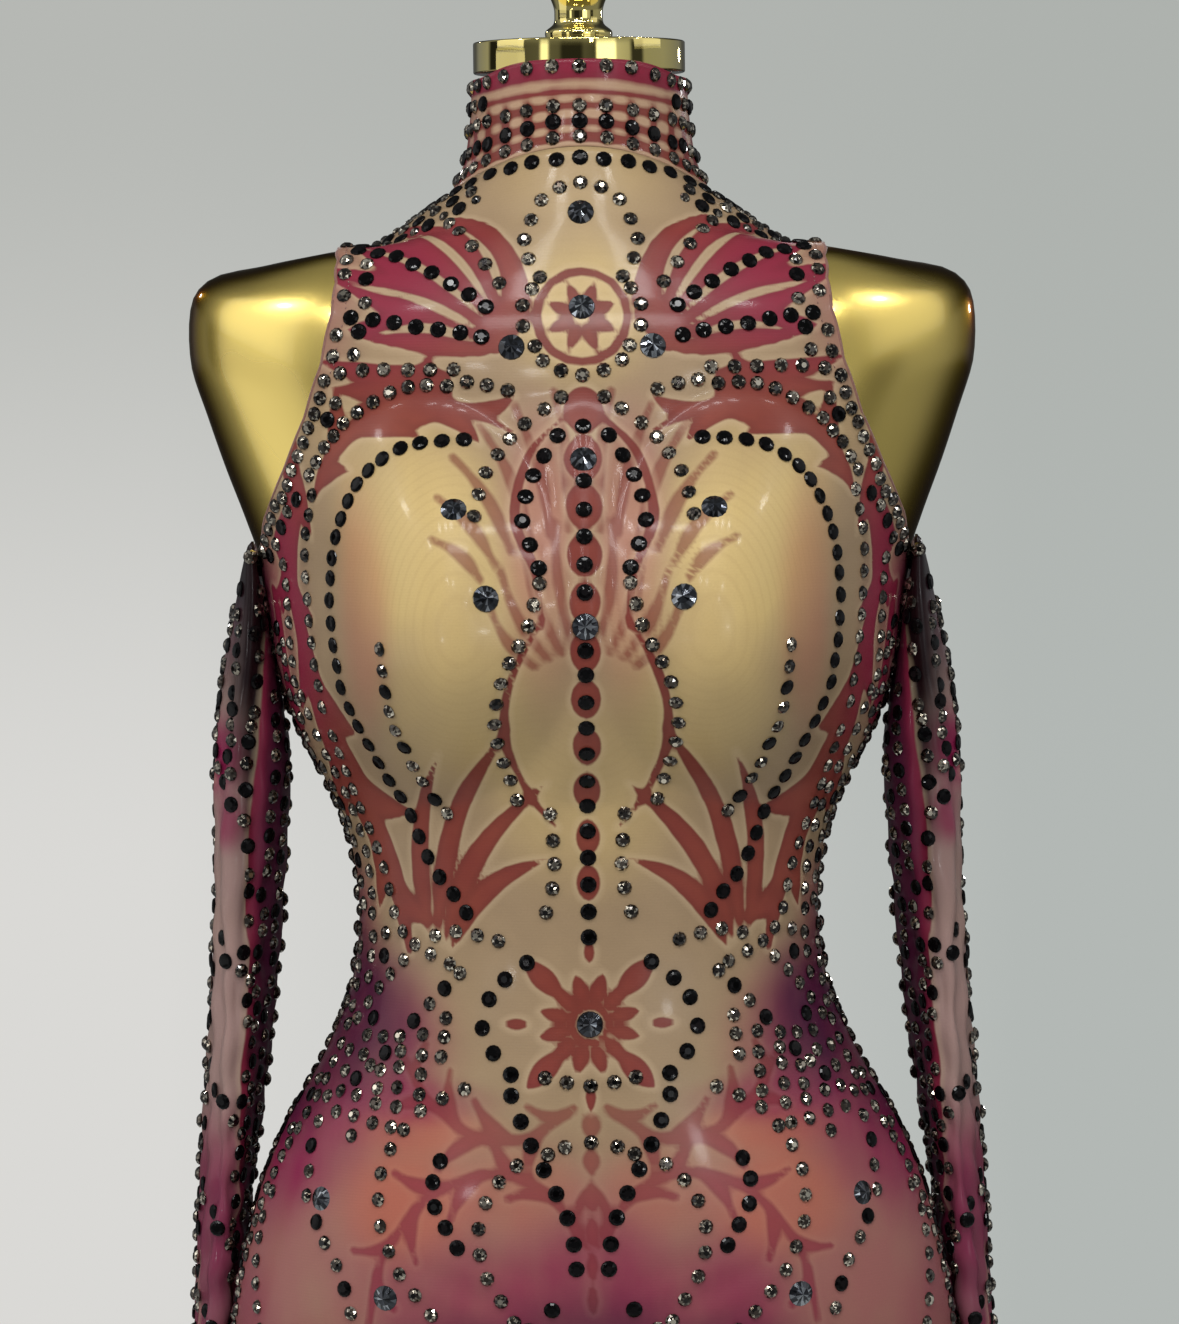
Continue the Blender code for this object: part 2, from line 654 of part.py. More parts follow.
def make_slider(material):
    """Slider with the bridge that the pull hangs from, in its own frame."""
    s, b = SLIDER, BRIDGE_BAR
    base, top = SEAM, SEAM + s["thick"]
    half_x, half_z = s["width"] / 2, s["height"] / 2
    slider = box_object(
        "zip_slider", (-half_x, base, -half_z), (half_x, top, half_z), material
    )
    half_b, half_h = b["width"] / 2, b["height"] / 2
    arch_top = top + b["gap"] + b["roof"]
    arch = box_object(
        "bridge_arch", (-half_b, top - OVERLAP / 2, -half_h), (half_b, arch_top, half_h),
        material,
    )
    hole_x, hole_z = half_b + OVERLAP, half_h - b["post"]
    hole = box_object(
        "bridge_hole", (-hole_x, top, -hole_z), (hole_x, top + b["gap"], hole_z), material
    )
    boolean(arch, hole, "DIFFERENCE")
    boolean(slider, arch, "UNION")
    frame = zip_frame()
    for obj in (slider, arch, hole):
        obj.matrix_world = frame
    return frame


def make_pull(frame, material):
    """Pull tab, whose origin is on its hinge: the bar that passes under the bridge."""
    p = PULL
    half = p["thick"] / 2
    bar = p["bar"] / 2
    bm = bmesh.new()
    shoulder = -p["window"] - p["shoulder"]
    outline = [(p["outer"], bar), (p["outer"], shoulder)]
    tip = p["outer"] + p["bulge"]
    centre = -p["length"] + tip
    for k in range(PULL_END_STEPS + 1):
        a = math.pi * k / PULL_END_STEPS
        outline.append((tip * math.cos(a), centre - tip * math.sin(a)))
    outline += [(-p["outer"], shoulder), (-p["outer"], bar)]
    face = bm.faces.new([bm.verts.new((x, -half, z)) for x, z in outline])
    moved = bmesh.ops.extrude_face_region(bm, geom=[face])["geom"]
    verts = [v for v in moved if isinstance(v, bmesh.types.BMVert)]
    bmesh.ops.translate(bm, vec=(0, p["thick"], 0), verts=verts)
    pull = add_object("zip_pull", bm, material, rounded=False)
    past = half + OVERLAP
    window = box_object(
        "pull_window", (-p["inner"], -past, -p["window"]), (p["inner"], past, -bar), material
    )
    boolean(pull, window, "DIFFERENCE")
    hinge_out = SEAM + SLIDER["thick"] + BRIDGE_BAR["gap"] / 2
    lean = Matrix.Rotation(math.radians(PULL_LEAN), 4, "X")
    for obj in (pull, window):
        obj.matrix_world = frame @ Matrix.Translation((0, hinge_out * MM, 0)) @ lean


def front_place(x, z):
    """Section and angle of the point on the front at a distance from the middle and a
    height, found by halving."""
    low, high = float(COLLAR_SEAM), float(HIP_SEAM)
    for _ in range(40):
        section = (low + high) / 2
        width = float(between(BODY[:, 2], section))
        angle = math.degrees(math.asin(min(1.0, x / width)))
        if body_surface(np.array(section), np.array(angle))[2] > z:
            low = section
        else:
            high = section
    return section, angle


def make_stones(material):
    """The large faceted stones, each set flat and just clear of the cloth's facets."""
    s = STONE
    bm = bmesh.new()
    bm.from_mesh(bpy.data.objects["front"].data)
    bmesh.ops.scale(bm, vec=(1 / MM, 1 / MM, 1 / MM), verts=bm.verts)
    cloth = BVHTree.FromBMesh(bm)
    bm.free()
    turns = [2 * math.pi * (k + 0.5) / s["sides"] for k in range(s["sides"])]
    sizes = (
        (s["radius"], 0), (s["radius"], s["girdle"]), (s["radius"] * s["table"], s["height"])
    )
    for name, x, z in STONE_PLACES:
        section, angle = front_place(x, z)
        args = (np.array([[section]]), np.array([[angle]]))
        inner, outer, _ = faces(body_surface, *args, mirror_middle=True)
        n = Vector((outer - inner)[0, 0]).normalized()
        place = n.to_track_quat("Z", "Y").to_matrix().to_4x4()
        place.translation = Vector(outer[0, 0])
        base = [place @ Vector((r * math.cos(a), r * math.sin(a), 0))
                for a in turns for r in (0, s["radius"])]
        heights = [PROBE - cloth.ray_cast(p + PROBE * n, -n)[3] for p in base]
        place.translation += n * (max(heights) + SEAM)
        for side, word in ((1, "left"), (-1, "right")) if x else ((1, "middle"),):
            rings = [
                [place @ Vector((r * math.cos(a), r * math.sin(a), h)) for a in turns]
                for r, h in sizes
            ]
            bm = bmesh.new()
            verts = lattice(bm, rings, loop=True)
            bm.faces.new(verts[0])
            bm.faces.new(verts[-1])
            bmesh.ops.scale(bm, vec=(side, 1, 1), verts=bm.verts)
            add_object(f"stone_{name}_{word}", bm, material, rounded=False)


def main():
    for obj in list(bpy.data.objects):
        bpy.data.objects.remove(obj)
    cloth = make_material("printed_mesh", (0.42, 0.24, 0.20), 0.45)
    gold = make_material("gold_lacquer", (0.72, 0.52, 0.14), 0.28, 1.0)
    polished = make_material("polished_gold", (0.85, 0.68, 0.25), 0.1, 1.0)
    nickel = make_material("zip_metal", (0.35, 0.33, 0.33), 0.3, 1.0)
    tape = make_material("zip_tape", (0.45, 0.33, 0.25), 0.7)
    glass = make_material("dark_glass", (0.12, 0.13, 0.17), 0.08)
    make_form(gold)
    make_stand(polished)
    make_collar(cloth)
    make_front(cloth)
    make_backs(cloth)
    make_zip(tape)
    make_legs(cloth)
    make_sleeves(cloth)
    frame = make_slider(nickel)
    make_pull(frame, nickel)
    make_stones(glass)


main()
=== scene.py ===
"""Looks of the rhinestone jumpsuit on its dress form.

The cloth, the form and the stand follow the same sections as the solids, at a finer grain.
Each cloth has a flat cut: u is the length along a ring in millimetres, from the middle of
the front or back (or from the outer seam on a leg or sleeve), and v is the height. The
print and the rows of stones are drawn on that flat cut.
"""

import math
import bpy
import numpy as np
from mathutils import Matrix, Vector


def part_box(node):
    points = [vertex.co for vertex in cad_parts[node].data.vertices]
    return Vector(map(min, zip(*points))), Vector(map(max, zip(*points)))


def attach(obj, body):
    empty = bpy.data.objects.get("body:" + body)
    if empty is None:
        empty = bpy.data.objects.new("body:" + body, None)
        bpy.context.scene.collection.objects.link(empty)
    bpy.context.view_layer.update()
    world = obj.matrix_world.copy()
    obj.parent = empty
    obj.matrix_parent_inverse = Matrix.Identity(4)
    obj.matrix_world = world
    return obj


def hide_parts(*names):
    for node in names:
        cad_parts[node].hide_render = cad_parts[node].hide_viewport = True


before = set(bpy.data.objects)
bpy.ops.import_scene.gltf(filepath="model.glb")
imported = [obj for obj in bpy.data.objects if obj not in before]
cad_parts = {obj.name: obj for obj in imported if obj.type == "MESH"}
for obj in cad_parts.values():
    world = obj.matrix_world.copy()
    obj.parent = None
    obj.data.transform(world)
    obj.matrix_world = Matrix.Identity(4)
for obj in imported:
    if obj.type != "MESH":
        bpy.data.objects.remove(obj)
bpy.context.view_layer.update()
ROOT = "suit_on_stand"

MM = 0.001
WALL, CLEAR, SEAM = 1.2, 0.5, 0.3  # cloth, its room over the form, gap of a seam

# The sections of the body, legs and sleeves are the solids' own, in millimetres, from the top
# down. A body section has its height, the drop at its sides, its half width, the y of its front,
# back and widest place, and the share of the half width at which the cloth ends.
BODY = np.array([
    (1468, 3, 52.0, -46, 58.0, 6, 1.0),
    (1452, 9, 53.5, -47, 60.5, 7, 1.0),
    (1440, 17, 57.0, -49, 63.0, 8, 1.0),
    (1430, 22, 65.0, -51, 66.0, 10, 1.0),  # collar seam
    (1419, 25, 85.0, -55, 71.0, 15, 1.0),
    (1407, 26, 105.0, -60, 77.0, 19, 1.0),
    (1396, 20.5, 117.0, -65, 83.0, 21, 1.0),  # top of the armhole
    (1387, 15, 150.0, -69, 88.0, 20, 0.787),
    (1376, 9, 174.0, -74, 92.0, 18, 0.681),
    (1363, 5, 189.0, -80, 96.0, 16, 0.632),
    (1347, 2, 195.5, -87, 99.0, 13, 0.62),
    (1325, 0, 195.0, -94, 102.0, 11, 0.65),
    (1300, 0, 187.0, -99, 104.0, 9, 0.723),
    (1275, 0, 178.5, -103, 104.0, 8, 0.816),
    (1250, 0, 169.0, -106, 102.0, 6, 0.926),
    (1225, 0, 160.5, -107, 99.0, 5, 1.0),  # bottom of the armhole
    (1200, 0, 156.0, -107, 95.0, 4, 1.0),
    (1175, 0, 151.5, -106, 90.0, 2, 1.0),
    (1150, 0, 143.5, -104, 85.0, 0, 1.0),
    (1125, 0, 131.0, -101, 80.0, -2, 1.0),
    (1100, 0, 119.5, -97, 75.0, -4, 1.0),
    (1070, 0, 113.5, -94, 71.0, -5, 1.0),
    (1040, 0, 113.5, -92, 70.5, -5, 1.0),
    (1010, 0, 119.5, -93, 75.0, -4, 1.0),
    (980, 0, 132.5, -97, 84.0, -2, 1.0),
    (950, 0, 149.5, -100, 96.0, 0, 1.0),
    (920, 0, 162.5, -102, 106.0, 3, 1.0),
    (890, 0, 171.0, -101, 112.0, 5, 1.0),
    (860, 0, 177.0, -97, 114.0, 7, 1.0),
    (832, 0, 179.0, -88, 110.0, 8, 1.0),  # hip seam
])
COLLAR_SEAM, ARMHOLE_TOP, ARMHOLE_BOTTOM, HIP_SEAM = 3, 6, 15, len(BODY) - 1
EDGE_SHARE = BODY[:, 6]

# Hills on the body's sections: place, height and reach each way.
BUST = dict(x=73, z=1193, rise=50, inward=70, outward=84, upward=118, downward=82)
SEAT = dict(x=76, z=878, rise=13, inward=70, outward=90, upward=80, downward=85)
BRIDGE_RISE, BRIDGE_REACH = 27, 55
SHOULDER_RISE, CAP_RISE = 4.5, 4.0

CROTCH_DIP = 56
LEG_OUTER, LEG_INNER = 20, 6  # columns round the outside of a leg, and along the crotch
CREASE, CREASE_COLUMNS = 0.6, 3  # share of a full arch at the body's middle; columns it fades in
LEG_FRONT_ANGLE = -50
# A leg's section has its height, its centre, its half widths in x and y, and its folds' depth.
LEG = np.array([
    (745, 88, 4, 78, 88, 0.0),  # end of the leg root
    (690, 87, 4, 71, 80, 1.5),
    (610, 84, 4, 58, 66, 3.5),
    (520, 81, 4, 50, 57, 4.5),
    (420, 77, 4, 44, 51, 5.0),
    (300, 74, 4, 41, 47, 5.0),
    (180, 72, 4, 39, 45, 4.5),
    (65, 71, 4, 40, 46, 5.0),  # hem
])
LEG_FOLDS, LEG_FOLD_TURN = 4, 0.9

# A sleeve's section has the same, with its rim's tilt, bow and lift before the folds' depth.
SLEEVE = np.array([
    (1220, 168.9, 6, 2.8, 33, 9, 4.5, 18, 0.0),
    (1200, 167.0, 7, 7.7, 36, 5, 2.5, 8, 0.6),
    (1170, 167.2, 9, 12.5, 37, 2, 0.5, 2, 1.2),
    (1130, 167.6, 12, 17.0, 37, 0, 0.0, 0, 1.8),
    (1080, 170.2, 16, 16.0, 37, 0, 0.0, 0, 2.0),
    (1030, 173.8, 20, 15.0, 36, 0, 0.0, 0, 2.0),
    (980, 178.0, 25, 14.0, 35, 0, 0.0, 0, 1.6),
    (930, 182.8, 31, 12.5, 34, 0, 0.0, 0, 1.0),
    (880, 187.2, 37, 11.0, 33, 0, 0.0, 0, 0.6),
    (830, 190.6, 43, 10.5, 32, 0, 0.0, 0, 0.6),
    (775, 191.0, 45, 11.0, 31, 0, 0.0, 0, 1.0),  # cuff
])
SLEEVE_FOLDS, SLEEVE_FOLD_TURN = 3, 0.7

ZIP_HALF_WIDTH, ZIP_END_SECTION = 3.0, 24  # mm, and the number of the section it ends at


def between(values, at):
    """A column of a table at any section number, on a smooth curve through its rows."""
    at = np.clip(np.asarray(at, float), 0, len(values) - 1)
    low = np.minimum(at.astype(int), len(values) - 2)
    t = at - low
    before, after = np.maximum(low - 1, 0), np.minimum(low + 2, len(values) - 1)
    a, b, c, d = (values[i] for i in (before, low, low + 1, after))
    return 0.5 * (
        2 * b + (c - a) * t
        + (2 * a - 5 * b + 4 * c - d) * t**2
        + (3 * b - 3 * c + d - a) * t**3
    )


def at_section(table, at):
    """Every column of a table at any section number."""
    return [between(column, at) for column in table.T]


def smooth(t):
    """0 to 1 in an even bend, level at both ends."""
    t = np.clip(t, 0, 1)
    return t * t * (3 - 2 * t)


def hump(distance, reach):
    """1 at no distance, falling smoothly to 0 at the reach."""
    return np.clip(1 - (distance / reach) ** 2, 0, 1) ** 2


def dome(x, z, d):
    """A rounded hill on either side of the middle, 0 outside its reach."""
    across = np.abs(x) - d["x"]
    up = z - d["z"]
    a = across / np.where(across < 0, d["inward"], d["outward"])
    u = up / np.where(up < 0, d["downward"], d["upward"])
    return d["rise"] * np.clip(1 - a * a - u * u, 0, 1) ** 1.5


def bridge(x, z):
    """Fills the valley between the two sides of the bust, as stretched cloth does."""
    up = z - BUST["z"]
    u = up / np.where(up < 0, BUST["downward"], BUST["upward"])
    across = np.clip(1 - (x / BRIDGE_REACH) ** 2, 0, 1) ** 3
    return BRIDGE_RISE * across * np.clip(1 - u * u, 0, 1) ** 1.5


def shoulder_rise(x, level):
    """The shoulders' ends and the caps' upper corners stand fuller than in the solids."""
    out = SHOULDER_RISE * smooth((x - 96) / 30) + CAP_RISE * smooth((x - 160) / 35)
    return out * smooth((level - 1322) / 30)


def body_surface(section, angle):
    """The cloth's inner face on the body. The angle is 0 at the front, 90 at the side."""
    z, drop, width, front, back, widest = at_section(BODY[:, :6], section)
    a = np.radians(angle)
    x = width * np.sin(a)
    level = z - drop * np.sin(a) ** 2
    level = level + shoulder_rise(x, level)
    forward = np.cos(a)
    depth = np.where(forward > 0, widest - front, back - widest)
    y = widest - depth * forward
    y = y - (dome(x, level, BUST) + bridge(x, level)) * np.clip(forward, 0, 1) ** 0.5
    y = y + dome(x, level, SEAT) * np.clip(-forward, 0, 1) ** 0.5
    return np.stack([x, y, level], -1)


def leg_ring(at, around):
    """A leg's ring at a section of the LEG table. around runs from -50 to 310 degrees."""
    z, cx, cy, half_x, half_y, fold = at_section(LEG, at)
    a = np.radians(around)
    wave = fold * np.cos(LEG_FOLDS * a + LEG_FOLD_TURN * at + 0.8 * np.sin(a))
    x = cx + (half_x + wave) * np.sin(a)
    y = cy - (half_y + wave) * np.cos(a)
    return np.stack([x, y, z + 0 * a], -1)


def leg_surface(row, column):
    """The left leg's inner face. Rows 0 to 1 are the root, and 1 upwards is the LEG table.
    Columns run from the front middle round the side to the back, then along the crotch."""
    column = np.mod(column, LEG_OUTER + LEG_INNER)
    row, column = np.broadcast_arrays(np.asarray(row, float), column)
    t = np.clip(row, 0, 1)
    outer_arc = column <= LEG_OUTER
    share = np.clip(column / LEG_OUTER, 0, 1)
    inner = np.clip((column - LEG_OUTER) / LEG_INNER, 0, 1)
    sweep = 180 - 2 * LEG_FRONT_ANGLE
    around = LEG_FRONT_ANGLE + np.where(outer_arc, sweep * share, sweep + (360 - sweep) * inner)
    low = leg_ring(np.maximum(row - 1, 0), around)
    hip = body_surface(np.full(share.shape, float(HIP_SEAM)), 180 * share)
    back_y, front_y = BODY[HIP_SEAM, 4], BODY[HIP_SEAM, 3]
    dip = CROTCH_DIP * np.sin(math.pi * inner) ** 0.8
    crotch = np.stack([0 * inner, back_y + (front_y - back_y) * inner, BODY[HIP_SEAM, 0] - dip], -1)
    top = np.where(outer_arc[..., None], hip, crotch)
    straight = top + (low - top) * smooth(t)[..., None]
    straight[..., 2] = top[..., 2] + (low[..., 2] - top[..., 2]) * t
    arch = straight.copy()
    quarter_turn = t * math.pi / 2
    arch[..., 0] = top[..., 0] + (low[..., 0] - top[..., 0]) * np.sin(quarter_turn)
    arch[..., 2] = top[..., 2] + (low[..., 2] - top[..., 2]) * (1 - np.cos(quarter_turn))
    from_middle = np.minimum(column, LEG_OUTER - column)
    fading = np.clip(1 - from_middle / CREASE_COLUMNS, 0, 1) ** 2
    along_crotch = 1 + (1 / CREASE - 1) * np.sin(math.pi * inner) ** 0.5
    arched = CREASE * np.where(outer_arc, fading, along_crotch)[..., None]
    root = straight + (arch - straight) * arched
    return np.where((row > 1)[..., None], low, root)


def sleeve_surface(row, around):
    """The left sleeve's inner face. The angle is 0 on the side away from the body."""
    z, cx, cy, half_x, half_y, tilt, bow, lift, fold = at_section(SLEEVE, row)
    a = np.radians(around)
    wave = fold * np.cos(SLEEVE_FOLDS * a + SLEEVE_FOLD_TURN * row)
    x = cx + (half_x + wave) * np.cos(a) - bow * np.sin(a) ** 2
    y = cy + (half_y + wave) * np.sin(a)
    z = z - tilt * np.cos(a) + lift * np.sin(a) ** 2
    return np.stack([x, y, z], -1)


BODY_STEP, SLEEVE_STEP = 0.02, 0.05  # for slopes; longer for a sleeve, which turns tightly


def unit(vectors):
    """Vectors of length 1 with the same directions."""
    return vectors / np.linalg.norm(vectors, axis=-1, keepdims=True)


def outward(surface, rows, cols, step=BODY_STEP):
    """Unit normals of a surface, from its slopes. Rows run down and columns run from the
    front round the left side, so the cross product points out."""
    rows, cols = np.broadcast_arrays(rows, cols)
    down = surface(rows + step, cols) - surface(np.maximum(rows - step, 0), cols)
    along = surface(rows, cols + step) - surface(rows, cols - step)
    return unit(np.cross(down, along))


def edge_angle(rows):
    """The angle round the body at which the cloth ends: 90 is its side, where two cloths meet."""
    share = np.interp(rows, np.arange(len(EDGE_SHARE)), EDGE_SHARE)
    return np.degrees(np.arcsin(np.clip(share, 0, 1)))


# Flat cuts


def lengths_along(line):
    """The length from a line's first point to each of its points."""
    return np.concatenate([[0], np.cumsum(np.linalg.norm(np.diff(line, axis=0), axis=1))])


def along_rings(points, start=0):
    """The length along each ring of a grid of points, from its start column."""
    steps = np.linalg.norm(np.diff(points, axis=1), axis=-1)
    along = np.pad(np.cumsum(steps, axis=1), ((0, 0), (1, 0)))
    return along - along[:, [start]]


def cut(surface, rows, cols, start, heights, step=BODY_STEP):
    """A cloth's flat cut: the length along each ring from the start column, by row."""
    points = surface(rows[:, None], cols[None, :])
    along = along_rings(points, int(np.argmin(np.abs(cols - start))))
    return dict(surface=surface, step=step, rows=rows, cols=cols, along=along,
                heights=heights(rows))


def section_heights(rows):
    """The heights of sections of the BODY table."""
    return between(BODY[:, 0], rows)


def leg_heights(rows):
    """Rows 0 to 1 run from the hip seam to the top of the LEG table."""
    table = np.concatenate([[BODY[HIP_SEAM, 0]], LEG[:, 0]])
    return np.interp(rows, np.arange(len(table)), table)


def sleeve_heights(rows):
    """The heights of sections of the SLEEVE table."""
    return between(SLEEVE[:, 0], rows)


ROW_STEP = 0.25
BODY_ROWS = np.arange(0, HIP_SEAM + 0.01, ROW_STEP)
LEG_ROWS = np.arange(0, len(LEG) + 0.01, 0.125)
SLEEVE_ROWS = np.arange(0, len(SLEEVE) - 0.99, 0.125)
CUTS = {
    "front": cut(body_surface, BODY_ROWS, np.arange(0, 181, 1.5), 0, section_heights),
    "back": cut(body_surface, BODY_ROWS, np.arange(180, -1, -1.5), 180, section_heights),
    "leg": cut(leg_surface, LEG_ROWS, np.arange(-5, 25.01, 0.25), 10, leg_heights),
    "sleeve": cut(sleeve_surface, SLEEVE_ROWS, np.arange(-180, 181, 4.0), 0, sleeve_heights,
                  SLEEVE_STEP),
}


def spot(flat, u, v):
    """Where a point of the flat cut lies: its point on the cloth's outer face and the normal
    there. The body's cuts, the leg's and the sleeve's are those of the left side."""
    row = float(np.interp(-v, -flat["heights"], flat["rows"]))
    k = min(int(np.searchsorted(flat["rows"], row, "right")) - 1, len(flat["rows"]) - 2)
    t = (row - flat["rows"][k]) / (flat["rows"][k + 1] - flat["rows"][k])
    ring = flat["along"][k] * (1 - t) + flat["along"][k + 1] * t
    col = float(np.interp(u, ring, flat["cols"]))
    args = np.array([row]), np.array([col])
    n = outward(flat["surface"], *args, flat["step"])[0]
    return flat["surface"](*args)[0] + (WALL + lift_at(flat, u, v)) * n, n


# Folds too fine for the solids


def front_folds(u, v):
    """Stretch lines between the two sides of the bust, at the waist and at the groin, in mm."""
    chest = 0.55 * np.cos(np.abs(u) * 2 * math.pi / 13) * hump(u, 34) * hump(v - 1232, 95)
    waist = 0.35 * np.cos((v + 0.16 * np.abs(u)) * 2 * math.pi / 17) * hump(v - 1055, 52)
    groin = 0.45 * np.cos((v - 0.45 * np.abs(u)) * 2 * math.pi / 21) * hump(v - 862, 48)
    return chest + waist * smooth((np.abs(u) - 50) / 60) + groin * hump(np.abs(u) - 55, 60)


def sleeve_folds(u, v):
    """Creases down the front and back of an empty sleeve, slanting folds in its lower half
    and towards its cuff, and fine crumples, in mm."""
    sway = 3.0 * np.sin(v / 41) + 1.6 * np.sin(v / 17 + 1)
    fade = smooth((1215 - v) / 60)
    creases = sum(
        -depth * hump(u - at - turn * sway, reach)
        for at, turn, reach, depth in (
            (-30, 1.2, 7, 2.9), (-46, -1.0, 6, 2.2), (-14, 0.8, 7, 1.7), (38, 1.0, 8, 2.4),
        )
    )
    creases = creases + 0.75 * np.cos(
        (v + 0.9 * u) * 2 * math.pi / 31 + 2.4 * np.sin(v / 47)
    ) * hump(v - 1000, 230)
    cuff = 0.7 * np.cos((v + 0.5 * u) * 2 * math.pi / 26) * smooth((960 - v) / 120)
    crumple = 0.5 * np.sin(u * 2 * math.pi / 13 + 2.6 * np.sin(v / 19)) * np.sin(v / 14 + u / 21)
    return fade * (creases + cuff + crumple)


def lift_at(flat, u, v):
    """How far the folds lift the cloth at a point of its flat cut."""
    if flat is CUTS["front"]:
        return float(front_folds(np.array(u), np.array(v)))
    if flat is CUTS["sleeve"]:
        return float(sleeve_folds(np.array(u), np.array(v)))
    return 0.0


# Print: every shape is a bent, tapered brush stroke on a flat cut


def curve_through(points, count):
    """Points on a smooth curve through a few given ones, evenly spaced along it."""
    points = np.array(points, float)
    fine = np.stack(
        [between(points[:, k], np.linspace(0, len(points) - 1, 12 * len(points)))
         for k in range(points.shape[1])], -1,
    )
    lengths = lengths_along(fine[:, :2])
    at = np.linspace(0, lengths[-1], count)
    return np.stack([np.interp(at, lengths, fine[:, k]) for k in range(fine.shape[1])], -1)


def length_of(points):
    """The length of the smooth curve through the points."""
    return float(lengths_along(curve_through(points, 40)[:, :2])[-1])


def stroke(points, widths):
    """A line whose half width runs through the given values."""
    line = curve_through(points, max(8, int(length_of(points) / 6)))
    share = np.linspace(0, 1, len(line))
    half = np.interp(share, np.linspace(0, 1, len(widths)), widths)
    return np.column_stack([line, half])


def leaf(base, tip, width, bend=0.0, belly=0.42):
    """A pointed leaf, widest at its belly, bent sideways by so many mm."""
    base, tip = np.array(base, float), np.array(tip, float)
    t = np.linspace(0, 1, 11)
    way = tip - base
    side = np.array([-way[1], way[0]]) / np.linalg.norm(way)
    line = base + way * t[:, None] + side * bend * np.sin(math.pi * t)[:, None]
    power = math.log(0.5) / math.log(belly)
    return np.column_stack([line, width * np.sin(math.pi * t**power) ** 0.85])


def polar(centre, radius, degrees):
    """The point so far from a centre, in a direction."""
    a = math.radians(degrees)
    return (centre[0] + radius * math.cos(a), centre[1] + radius * math.sin(a))


def fan(centre, count, first, last, start, ends, width, bend=0.0):
    """Leaves spread from a centre between two angles, which turn from outwards to upwards."""
    angles = np.linspace(first, last, count)
    reach = np.interp(np.linspace(0, 1, count), np.linspace(0, 1, len(ends)), ends)
    return [
        leaf(polar(centre, start, a), polar(centre, r, a), width, bend)
        for a, r in zip(angles, reach)
    ]


def rosette(centre, count, start, end, width, turn=0.0):
    """Leaves spread evenly all round a centre."""
    step = 360 / count
    return fan(centre, count, turn, turn + 360 - step, start, (end,), width)


def ring(centre, radius, half):
    """A circle drawn as a stroke, with its half width."""
    circle = [polar(centre, radius, a) for a in range(0, 361, 24)]
    return np.column_stack([circle, np.full(len(circle), half)])


def lozenges(points, count, long, wide):
    """A chain of short pointed shapes along a line, smaller towards its end."""
    line = curve_through(points, count + 1)
    size = np.linspace(1, 0.6, count)
    return [
        leaf(a + (b - a) * 0.08, a + (b - a) * (0.08 + 0.84 * long), wide * s, belly=0.5)
        for a, b, s in zip(line, line[1:], size)
    ]


def vine(points, widths, leaves, long, wide, lean=38, sides=(1, -1)):
    """A stem with pointed leaves set alternately on the given sides."""
    stem = stroke(points, widths)
    line = curve_through(points, 3 * leaves + 3)
    shapes = [stem]
    for k in range(leaves):
        at, ahead = line[3 * k + 1], line[3 * k + 2]
        way = math.degrees(math.atan2(ahead[1] - at[1], ahead[0] - at[0]))
        side = sides[k % len(sides)]
        grow = 0.75 + 0.5 * math.sin(math.pi * (k + 0.5) / leaves)
        tip = polar(at, long * grow, way + side * lean)
        shapes.append(leaf(at, tip, wide * grow, bend=-side * long * 0.12))
    return shapes


def distance_to(shapes, u, v, far=12.0, blend=1.5):
    """The distance in mm to the nearest shape, below 0 inside it. Shapes that meet flow
    into each other, as brush strokes do."""
    flat_u, flat_v = np.ravel(u), np.ravel(v)
    total = np.full(flat_u.shape, math.exp(-far / blend))
    for shape in shapes:
        reach = shape[:, 2].max() + far
        near = np.flatnonzero(
            (flat_u > shape[:, 0].min() - reach) & (flat_u < shape[:, 0].max() + reach)
            & (flat_v > shape[:, 1].min() - reach) & (flat_v < shape[:, 1].max() + reach)
        )
        pu, pv = flat_u[near], flat_v[near]
        best = np.full(near.shape, far)
        for (au, av, ar), (bu, bv, br) in zip(shape, shape[1:]):
            wu, wv = bu - au, bv - av
            t = np.clip(
                ((pu - au) * wu + (pv - av) * wv) / max(wu * wu + wv * wv, 1e-9), 0, 1
            )
            gap = np.hypot(pu - au - t * wu, pv - av - t * wv) - (ar + (br - ar) * t)
            best = np.minimum(best, gap)
        total[near] += np.exp(-best / blend)
    return (-blend * np.log(total)).reshape(np.shape(u))


def chest_shapes():
    """Palm fans on the upper chest, and a flower in its middle."""
    fans = fan((26, 1334), 5, 4, 60, 8, (90, 112, 118, 106, 82), 13.0, bend=5)
    thorns = fan((60, 1320), 5, -40, 6, 6, (40, 58, 72), 5.6, bend=-4)
    flower = rosette((0, 1347), 8, 5, 17, 3.0, turn=22.5)
    return fans + thorns + flower + [ring((0, 1347), 22.0, 1.9)]


